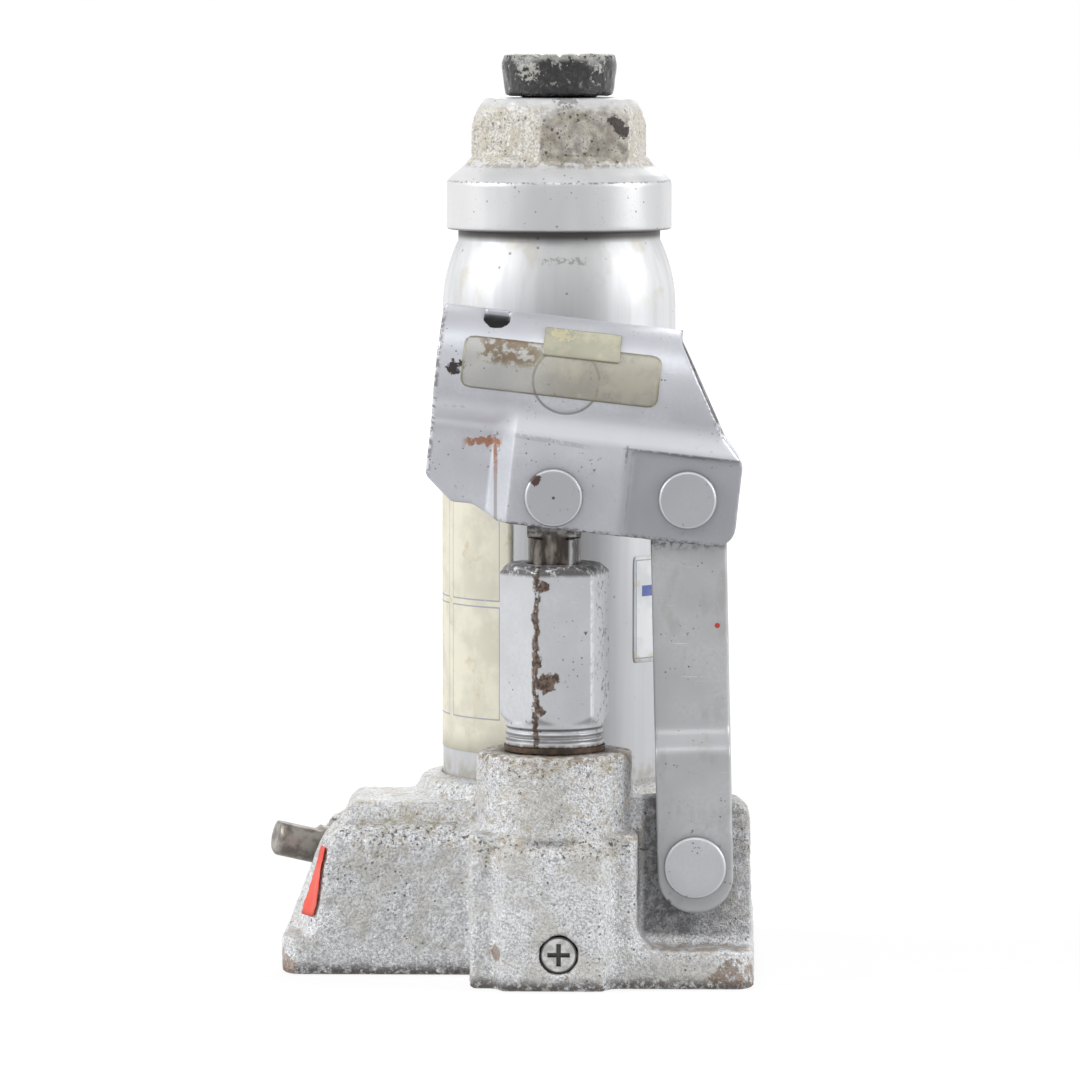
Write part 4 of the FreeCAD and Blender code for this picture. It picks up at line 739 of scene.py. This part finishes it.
def socket_push(point, normal):
    u, v = tube_places(point.x / MM, point.z / MM)
    push = 0.06 * waves(point, 9.0) + 0.012 * waves(point, 2.0)
    if point.y < PUMP_Y - 6 * MM:
        ring = abs(math.hypot(u - RING_U, v - RING_V) - RING_R)
        push -= 0.22 * max(0.0, 1 - ring / 0.6)
    return push * MM


def rear_of_notch(form):
    """The notch at the mouth is closed behind the crown: on the real socket only the near wall is cut."""
    start, sweep = math.radians(92), math.radians(56)
    inner, outer = SOCKET_R - 2.25 * MM, SOCKET_R - 0.02 * MM
    places = ((NOTCH_LOW_U, inner), (NOTCH_HIGH_U, inner), (NOTCH_HIGH_U, outer), (NOTCH_LOW_U, outer))
    wall = [form.verts.new(in_socket(u * MM, -r * math.cos(start), r * math.sin(start))) for u, r in places]
    middle_line = in_socket(1, 0, 0) - in_socket(0, 0, 0)
    section = form.faces.new(wall)
    bmesh.ops.spin(form, geom=[section], cent=in_socket(0, 0, 0), axis=middle_line, angle=-sweep, steps=7)


socket_paint = sheet_coat("sheet_silver_paint", PALE_SILVER, socket_marks)
socket = soft_copy("handle_socket", "lever_socket", socket_paint, 0.38, 2, socket_push, rear_of_notch)

# %% [markdown]
# ## Link straps and their pins
# The straps take the same paint, greyer where grease reached them, and the pins are short rivets whose
# heads were painted with the rest. The front head of the plunger's pin has lost a flake of paint. The
# lower ends of the straps are cut to a half circle before the skin goes on.

# %% Straps and pins
PIN_NODES = ("plunger_pin", "upper_link_pin", "lower_link_pin")
STRAP_HALF, STRAP_END = 7.4 * MM, 9.2 * MM


def strap_marks(coat):
    smear = coat.step(coat.noise(5.0, 5.0, 0.6, grain=(1, 1, 0.5)), 0.54, 0.68)
    coat.lay((150, 146, 140), smear * 0.3)
    top = coat.step(coat.z, 84.6, 86.8) * coat.step(coat.noise(1.4, 4.0, 0.6), 0.46, 0.56)
    coat.lay((72, 70, 72), top * 0.75)
    dot = coat.spot((31.8, -41.8, 70.4), 0.6)
    coat.lay((186, 64, 58), dot)


def pin_marks(coat):
    """A pale ring inside the edge and a dark joint round each head, and a lost flake on the plunger's pin."""
    upper = coat.step(coat.z, 50, 60)
    coat.lay((168, 170, 175), upper * 0.7)
    for node in PIN_NODES:
        reach = (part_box(node)[1][0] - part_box(node)[0][0]) / 2 / MM
        apart = coat.across(middle(node))
        coat.lay((228, 228, 230), coat.line(apart, reach - 0.4, 0.08) * 0.55)
        joint = coat.step(apart, reach - 0.18, reach) * coat.step(apart, reach + 0.6, reach + 0.4)
        coat.lay((74, 70, 70), joint * 0.8)
    flake = coat.spot((-3.5, -46.7, 99.0), 1.2, 0.8, 0.8)
    dimple = coat.spot((0.0, -46.7, 95.6), 0.35)
    coat.lay((78, 56, 54), flake.most(dimple * 0.9))


def strap_push(point, normal):
    return 0.05 * waves(point, 8.0) * MM


def round_foot(form):
    """The corners of a strap's lower end are cut off plane by plane, until the end is a half circle."""
    foot, head = middle("lower_link_pin"), middle("upper_link_pin")
    down = Vector((foot.x - head.x, 0, foot.z - head.z)).normalized()
    centre = foot + down * (STRAP_END - STRAP_HALF)
    for turn in [sign * math.radians(9 * step) for step in range(1, 10) for sign in (-1, 1)]:
        way = Matrix.Rotation(turn, 3, "Y") @ down
        every = form.verts[:] + form.edges[:] + form.faces[:]
        edge = centre + way * STRAP_HALF
        cut = bmesh.ops.bisect_plane(form, geom=every, plane_co=edge, plane_no=way, clear_outer=True)
        rim = [part for part in cut["geom_cut"] if isinstance(part, bmesh.types.BMEdge)]
        if len(rim) > 2:
            bmesh.ops.contextual_create(form, geom=rim)


strap_paint = sheet_coat("strap_silver_paint", (192, 193, 196), strap_marks)
pin_paint = sheet_coat("pin_silver_paint", (202, 204, 208), pin_marks, 0.2)
for node in ("link_strap_front", "link_strap_rear"):
    soft_copy(node, "dressed_" + node, strap_paint, 0.42, 5, strap_push, round_foot)
for node in PIN_NODES:
    soft_copy(node, "dressed_" + node, pin_paint, 0.28, 1)

# %% [markdown]
# ## The pump
# The pump cylinder is turned from hexagon bar and painted over, and the paint has peeled in a brown line
# along the corner that a spanner turned on. The plunger is the only polished part in sight. It works in
# oil, so it is dark and wet below and dusty above, where its eye carries the pin.

# %% Pump cylinder and plunger
NECK_LINES = (47.9, 49.1, 50.3)


def pump_marks(coat):
    ragged = coat.noise(1.3, 4.0, 0.65)
    wander = coat.x + (coat.noise(3.0, 3.0) - 0.5) * 2.4
    front = coat.step(coat.y, -43.5, -44.5)
    peel = coat.line(wander, -3.4, 0.42) * coat.step(ragged, 0.36, 0.46) * front
    blob = coat.spot((-1.6, -47.4, 59.6), 2.1, 1.5, 1.2)
    blob = blob.most(coat.spot((0.6, -47.6, 60.4), 1.1, 0.9, 1.0))
    blob = blob.most(coat.spot((-3.3, -47.4, 63.5), 1.3, 0.8, 1.2))
    blob = blob.most(coat.spot((-2.6, -47.4, 54.2), 1.1, 0.8, 1.2))
    top = coat.spot((-1.8, -47.4, 78.4), 1.3, 0.9, 1.2)
    bare = peel.most(blob * front).most(top * front)
    brown = coat.blend((66, 52, 46), (116, 98, 86), coat.step(coat.noise(0.9, 3.0), 0.4, 0.6))
    coat.lay(brown, bare)
    # Painted highlight: a pale line down the hexagon's corner on the right of the front face.
    ridge_highlight = coat.line(coat.x, 7.5, 0.22) * front
    coat.lay((228, 229, 232), ridge_highlight * coat.step(ragged, 0.4, 0.5) * 0.7)
    knocks = coat.step(coat.x, 7.9, 8.6) * coat.step(ragged, 0.56, 0.62)
    coat.lay((82, 76, 76), knocks * 0.75)
    rim = coat.step(coat.z, 79.8, 80.8) * coat.step(ragged, 0.36, 0.5)
    coat.lay((52, 44, 40), rim * 0.85)
    for height in NECK_LINES:
        coat.lay((84, 80, 78), coat.line(coat.z, height, 0.16) * 0.8)
    grease = coat.step(coat.z, 47.8, 46.8) * coat.step(ragged, 0.36, 0.56)
    coat.lay((98, 84, 64), grease * 0.8)


def plunger_coat():
    coat = Coat("oily_plunger", metallic=0.9)
    film = coat.noise(2.4, 4.0, 0.6, grain=(1, 1, 0.3))
    rod = coat.blend((58, 53, 49), (122, 116, 110), coat.step(film, 0.42, 0.66))
    # Painted highlight: a pale band down the rod.
    painted_highlight = coat.step(coat.x, 2.6, 3.4) * coat.step(coat.x, 4.6, 4.1)
    rod = coat.blend(rod, (214, 214, 216), painted_highlight * 0.5)
    eye = coat.step(coat.z, 87.5, 88.6)
    dusty = coat.blend((104, 100, 96), (168, 166, 164), coat.step(coat.noise(1.2, 3.0, 0.6), 0.4, 0.62))
    coat.paint = coat.blend(rod, dusty, eye)
    seep = coat.step(coat.z, 89.2, 88.2) * coat.step(coat.noise(1.8, 3.0), 0.45, 0.58) * eye
    coat.lay((50, 40, 36), seep)
    return coat.finish(0.2 + eye * 0.35, coat.noise(0.9, 3.0), 0.06, 0.9 - eye * 0.7)


pump_paint = sheet_coat("pump_silver_paint", (204, 206, 210), pump_marks, 0.3, 0.9)
soft_copy("pump_cylinder", "pump_hexagon", pump_paint, 0.3, 1)
soft_copy("pump_plunger", "oily_rod", plunger_coat(), 0.32, 1)

# %% [markdown]
# ## Release screw
# The release screw stands out of the left side and ends in two flats for the handle's slotted end. It
# is plain steel gone grey, with rust in its scratches.

# %% Release screw
def spindle_coat():
    coat = Coat("greyed_steel", metallic=0.5)
    clouds = coat.noise(3.0, 4.0, 0.6)
    coat.paint = coat.blend((112, 106, 99), (162, 157, 150), coat.step(clouds, 0.36, 0.62))
    marks = coat.scratches((0.4, 0.2, 1.3), 0.68).most(coat.scratches((1.2, 1.0, 0.2), 0.68))
    coat.lay((86, 76, 66), marks * 0.7)
    rust = coat.step(coat.noise(1.7, 4.0, 0.65), 0.62, 0.7)
    coat.lay((126, 92, 66), rust * 0.6)
    return coat.finish(0.42 + rust * 0.2, clouds, 0.1)


spindle_steel = spindle_coat()
soft_copy("release_valve_spindle", "release_screw_rod", spindle_steel, 0.3, 1)
soft_copy("release_gland_nut", "release_screw_gland", spindle_steel, 0.34, 1)

# %% [markdown]
# ## Bright tube, plain steels, seals and springs
# The tank is drawn tube, so its grain runs up and down. It is laid darker towards the bottom, a painted
# reflection darkens the middle of its upper part and dome, and a painted shadow darkens the neck under
# the cap's skirt. What is left sits inside or peeps out between parts: ground steel on the ram, zinc
# on the small screws, blue-grey springs, black rubber and a copper washer gone brown.

# %% Tank and small parts
def tank_coat():
    coat = Coat("tank_satin_paint", metallic=0.25)
    streaks = coat.noise(3.6, 3.0, 0.6, grain=(1, 1, 0.03))
    coat.paint = coat.blend((200, 201, 203), (214, 215, 217), coat.step(streaks, 0.32, 0.66))
    stains = coat.step(coat.noise(7.0, 4.0, 0.6), 0.56, 0.68) * coat.step(coat.z, 128, 136)
    coat.lay((190, 182, 160), stains * 0.4)
    # Painted reflection: a soft darker band down the middle of the upper tube and dome.
    grey = coat.step(coat.x, -7.0, 1.0) * coat.step(coat.x, 12.0, 6.0) * coat.step(coat.y, 0.0, -6)
    coat.lay((172, 173, 172), grey * coat.step(coat.z, 112, 124) * 0.6)
    scuff = coat.line(coat.z + (coat.noise(3.0) - 0.5) * 3.0, 140.4, 0.5)
    scuff = scuff * coat.step(coat.x, -4.0, -2.0) * coat.step(coat.x, 6.6, 4.6)
    scuff = scuff * coat.step(coat.noise(0.9, 4.0, 0.65), 0.44, 0.58) * coat.step(coat.y, -10, -12)
    coat.lay((120, 114, 106), scuff * 0.6)
    dots = coat.specks(1.9, 0.2, 0.2) * coat.step(coat.noise(8.0), 0.46, 0.6)
    coat.lay((96, 90, 84), dots * 0.7)
    # Painted shadow on the neck, under the cap's skirt.
    groove = coat.step(coat.z, 143.6, 145.2)
    coat.lay((52, 46, 40), groove * 0.9)
    # Darker towards the bottom.
    coat.lay((176, 177, 181), coat.step(coat.z, 100, 62) * 0.5)
    foot = coat.step(coat.z, 42, 38) * coat.step(coat.noise(3.0, 3.0), 0.35, 0.6)
    coat.lay((150, 142, 122), foot * 0.6)
    return coat.finish(0.42 + coat.noise(4.0, 2.0) * 0.14, streaks, 0.012)


def plain_coat(name, dark, pale, roughness, metallic, size=2.0, depth=0.02):
    """A quiet finish for parts that barely show: two tones, uneven gloss and a fine grain."""
    coat = Coat(name, metallic=metallic)
    clouds = coat.noise(size, 4.0, 0.6)
    coat.paint = coat.blend(dark, pale, coat.step(clouds, 0.35, 0.65))
    return coat.finish(roughness + clouds * 0.15, coat.noise(size / 4, 2.0), depth)


def plug_coat():
    coat = Coat("plug_zinc", metallic=0.6)
    clouds = coat.noise(1.5, 3.0)
    coat.paint = coat.blend((178, 178, 176), (212, 212, 210), coat.step(clouds, 0.4, 0.6))
    face_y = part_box("delivery_plug_screw")[0][1] / MM
    recess = coat.step(coat.y, face_y + 0.35, face_y + 0.8)
    rim = coat.step(coat.across(middle("delivery_plug_screw")), 3.1, 3.3)
    coat.lay((48, 46, 48), recess.most(rim) * 0.9)
    return coat.finish(0.35, clouds, 0.04)


plain_finishes = {
    "ground_steel": plain_coat("ground_steel", (180, 179, 176), (198, 197, 195), 0.2, 1.0, 7.0),
    "zinc_steel": plain_coat("zinc_steel", (150, 148, 138), (190, 188, 180), 0.35, 0.8),
    "spring_steel": plain_coat("spring_steel", (84, 88, 96), (132, 134, 140), 0.3, 0.9),
    "ball_steel": plain_coat("ball_steel", (170, 170, 172), (206, 206, 208), 0.12, 1.0),
    "seal_rubber": plain_coat("seal_rubber", (22, 22, 23), (44, 43, 42), 0.55, 0.0),
    "copper": plain_coat("browned_copper", (52, 42, 34), (92, 74, 58), 0.5, 0.4),
    "cast_silver": cast_paint,
    "tank_silver": tank_coat(),
    "cap_silver": cap.data.materials[0],
    "socket_silver": socket_paint,
    "strap_silver": strap_paint,
    "pump_silver": pump_paint,
    "pin_silver": pin_paint,
    "spindle_grey": spindle_steel,
    "saddle_black": saddle.data.materials[0],
}
for node, solid in frame["nodes"].items():
    solid.data.materials.clear()
    solid.data.materials.append(plug_coat() if node == "delivery_plug_screw" else plain_finishes[slot_of[node]])
print("finishes on", len(frame["nodes"]), "solids")

# %% [markdown]
# ## Paper and film
# Labels are thin sheets that lie on whatever carries them. Each starts as a flat grid with a UV map,
# its corners drawn in to a radius. On a tube it is wrapped by angle, and on the rough casting it is laid
# by shooting a ray from every point. A small lift keeps it off the metal, and Solidify makes it as thick
# as paper.

# %% Laying a label
def rounded(across, half, other, half_other, radius):
    """Draws a grid point near a corner in to a quarter circle."""
    inner, inner_other = half - radius, half_other - radius
    dx, dy = abs(across) - inner, abs(other) - inner_other
    if dx <= 0 or dy <= 0:
        return across, other
    reach = max(dx, dy) / math.hypot(dx, dy)
    return math.copysign(inner + dx * reach, across), math.copysign(inner_other + dy * reach, other)


def label_grid(width, height, radius, steps):
    """A flat rounded grid about the origin in x and y, with a UV map from 0 to 1."""
    form = bmesh.new()
    form.loops.layers.uv.new("print")
    bmesh.ops.create_grid(form, x_segments=steps[0], y_segments=steps[1], size=0.5, calc_uvs=True)
    for vert in form.verts:
        x, y = vert.co.x * width, vert.co.y * height
        vert.co.x, vert.co.y = rounded(x, width / 2, y, height / 2, radius)
    return form


def finish_label(form, name, material, body, thickness=0.08):
    bmesh.ops.recalc_face_normals(form, faces=form.faces)
    mesh = bpy.data.meshes.new(name)
    form.to_mesh(mesh)
    form.free()
    mesh.polygons.foreach_set("use_smooth", [True] * len(mesh.polygons))
    piece = add_object(name, mesh)
    dress(piece, material)
    paper = piece.modifiers.new("paper", "SOLIDIFY")
    paper.thickness = thickness * MM
    paper.offset = 0.0
    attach(piece, body)
    return piece


def tank_label(name, material, turn, z_low, z_high, width, radius=1.0):
    """A label wrapped on the tank. turn is the angle of its middle from the front, in radians."""
    around, middle_z = TANK_R + 0.09 * MM, (z_low + z_high) / 2 * MM
    form = label_grid(width * MM, (z_high - z_low) * MM, radius * MM, (40, 16))
    for vert in form.verts:
        angle = turn + vert.co.x / TANK_R
        vert.co = Vector((around * math.sin(angle), -around * math.cos(angle), vert.co.y + middle_z))
    return finish_label(form, name, material, "base")


def socket_label(name, material, u_mid, turn, width, height, radius, lift):
    """A label on the socket's tube, its middle at u_mid. turn is the angle of that middle above the side."""
    around = SOCKET_R + lift * MM
    form = label_grid(width * MM, height * MM, radius * MM, (36, 14))
    for vert in form.verts:
        angle = turn + vert.co.y / SOCKET_R
        vert.co = in_socket(u_mid * MM + vert.co.x, -around * math.cos(angle), around * math.sin(angle))
    return finish_label(form, name, material, "lever", 0.05)


# %% [markdown]
# ## What the labels are made of
# The paper has gone cream and is stained at its edges, with a few thin ruled boxes on it. The film on the
# socket is a clear strip turned yellow, brown with old glue at one end.

# %% Label materials
def paper_coat(name, boxes, bars=(), tone=(230, 226, 208), line_colour=(130, 140, 166), half=0.002):
    """boxes and bars are (low u, low v, high u, high v). A box is ruled, a bar is filled blue."""
    coat = Coat(name, roughness=0.62)
    u, v, _ = coat.parts(coat.node("ShaderNodeTexCoord", {}, {}, "UV"))
    clouds = coat.noise(9.0, 4.0, 0.6)
    coat.paint = coat.blend(tone, tuple(c * 0.93 for c in tone), coat.step(clouds, 0.4, 0.62))

    def between(value, low, high):
        return coat.step(value, low - 0.001, low) * coat.step(value, high + 0.001, high)

    def inside(low_u, low_v, high_u, high_v, grow):
        return between(u, low_u - grow, high_u + grow) * between(v, low_v - grow, high_v + grow)

    for box in boxes:
        ruled = inside(*box, half) * (1 - inside(*box, -half))
        coat.lay(line_colour, ruled * 0.75)
    for bar in bars:
        coat.lay((58, 82, 160), inside(*bar, 0.0) * 0.9)
    stain = coat.step(coat.noise(5.0, 4.0, 0.65), 0.58, 0.68)
    coat.lay((200, 184, 140), stain * 0.5)
    torn = coat.step(coat.noise(3.0, 4.0, 0.6), 0.68, 0.72)
    coat.lay((196, 196, 192), torn * 0.8)
    return coat.finish(None, coat.noise(0.7, 3.0), 0.03)


def film_coat(name, tone, brown, clear):
    """Clear film gone yellow, with brown glue at its left end. clear is how opaque its clearest part is."""
    coat = Coat(name, roughness=0.3)
    clouds = coat.noise(5.0, 4.0, 0.6)
    coat.paint = coat.blend(tone, tuple(c * 0.9 for c in tone), coat.step(clouds, 0.4, 0.6))
    u, v, _ = coat.parts(coat.node("ShaderNodeTexCoord", {}, {}, "UV"))
    rim = coat.step(abs(u - 0.5), 0.485, 0.495).most(coat.step(abs(v - 0.5), 0.46, 0.485))
    coat.lay((98, 94, 72), rim * 0.6)
    ragged = coat.noise(1.4, 4.0, 0.65)
    left = coat.step(u, 0.06, 0.12) * coat.step(u, 0.42, 0.34)
    glue = coat.step(ragged, 0.46, 0.54) * left * coat.step(v, 0.45, 0.62)
    coat.lay(brown, glue * 0.8)
    opaque = clear + (glue * 0.6).most(rim * 0.4) + coat.step(u, 0.25, 0.6) * 0.22
    coat.tree.links.new(opaque.socket, coat.bsdf.inputs["Alpha"])
    return coat.finish(None, coat.noise(0.6, 2.0), 0.03)


COLUMNS, ROWS = ((0.06, 0.62), (0.66, 0.94)), ((0.44, 0.78), (0.1, 0.42))
SIDE_BOX, BLUE_BAR = (0.03, 0.04, 0.97, 0.96), (0.1, 0.62, 0.9, 0.72)
long_boxes = [(left, low, right, high) for low, high in ROWS for left, right in COLUMNS]
tank_paper = paper_coat("cream_paper", long_boxes)
side_paper = paper_coat("white_paper", [SIDE_BOX], [BLUE_BAR], (232, 234, 236), (120, 130, 150), 0.006)
tank_label("tank_paper", tank_paper, math.radians(-82), 42.5, 112.0, 49.0, 1.0)
tank_label("side_paper", side_paper, math.radians(68), 60.6, 81.8, 22.5, 0.8)


STICKER_Y, STICKER_Z, LOOSE_Y = -29.0 * MM, 18.3 * MM, -28.6 * MM


def flank_sticker():
    """A red sticker on the left flank of the block. In front of LOOSE_Y it has come loose and curls away."""
    form = label_grid(4.6 * MM, 13.6 * MM, 0.6 * MM, (10, 12))
    for vert in form.verts:
        y, z = STICKER_Y + vert.co.x, STICKER_Z + vert.co.y
        found, hit, *_ = base.ray_cast(Vector((-80 * MM, y, z)), Vector((1, 0, 0)))
        lift = 0.15 * MM + 0.6 * MM * max(0.0, (LOOSE_Y - y) / (2.8 * MM)) ** 1.5
        vert.co = Vector((hit.x - lift, y, z)) if found else Vector((-46 * MM, y, z))
    red = Coat("red_vinyl", roughness=0.45)
    red.paint = red.blend((238, 84, 66), (222, 96, 80), red.step(red.noise(4.0, 3.0), 0.4, 0.6))
    vinyl = red.finish(None, red.noise(0.6, 2.0), 0.02)
    return finish_label(form, "flank_sticker", vinyl, "base", 0.1)


strip_film = film_coat("yellowed_film", (220, 214, 192), (126, 98, 70), 0.16)
plate_film = film_coat("cream_film", (214, 211, 188), (196, 188, 150), 0.62)
socket_label("socket_strip", strip_film, 1.4, math.radians(6.5), 38.4, 10.4, 1.9, 0.1)
socket_label("socket_plate", plate_film, 4.9, math.radians(37), 14.9, 6.6, 0.3, 0.2)
flank_sticker()
print("labels laid")
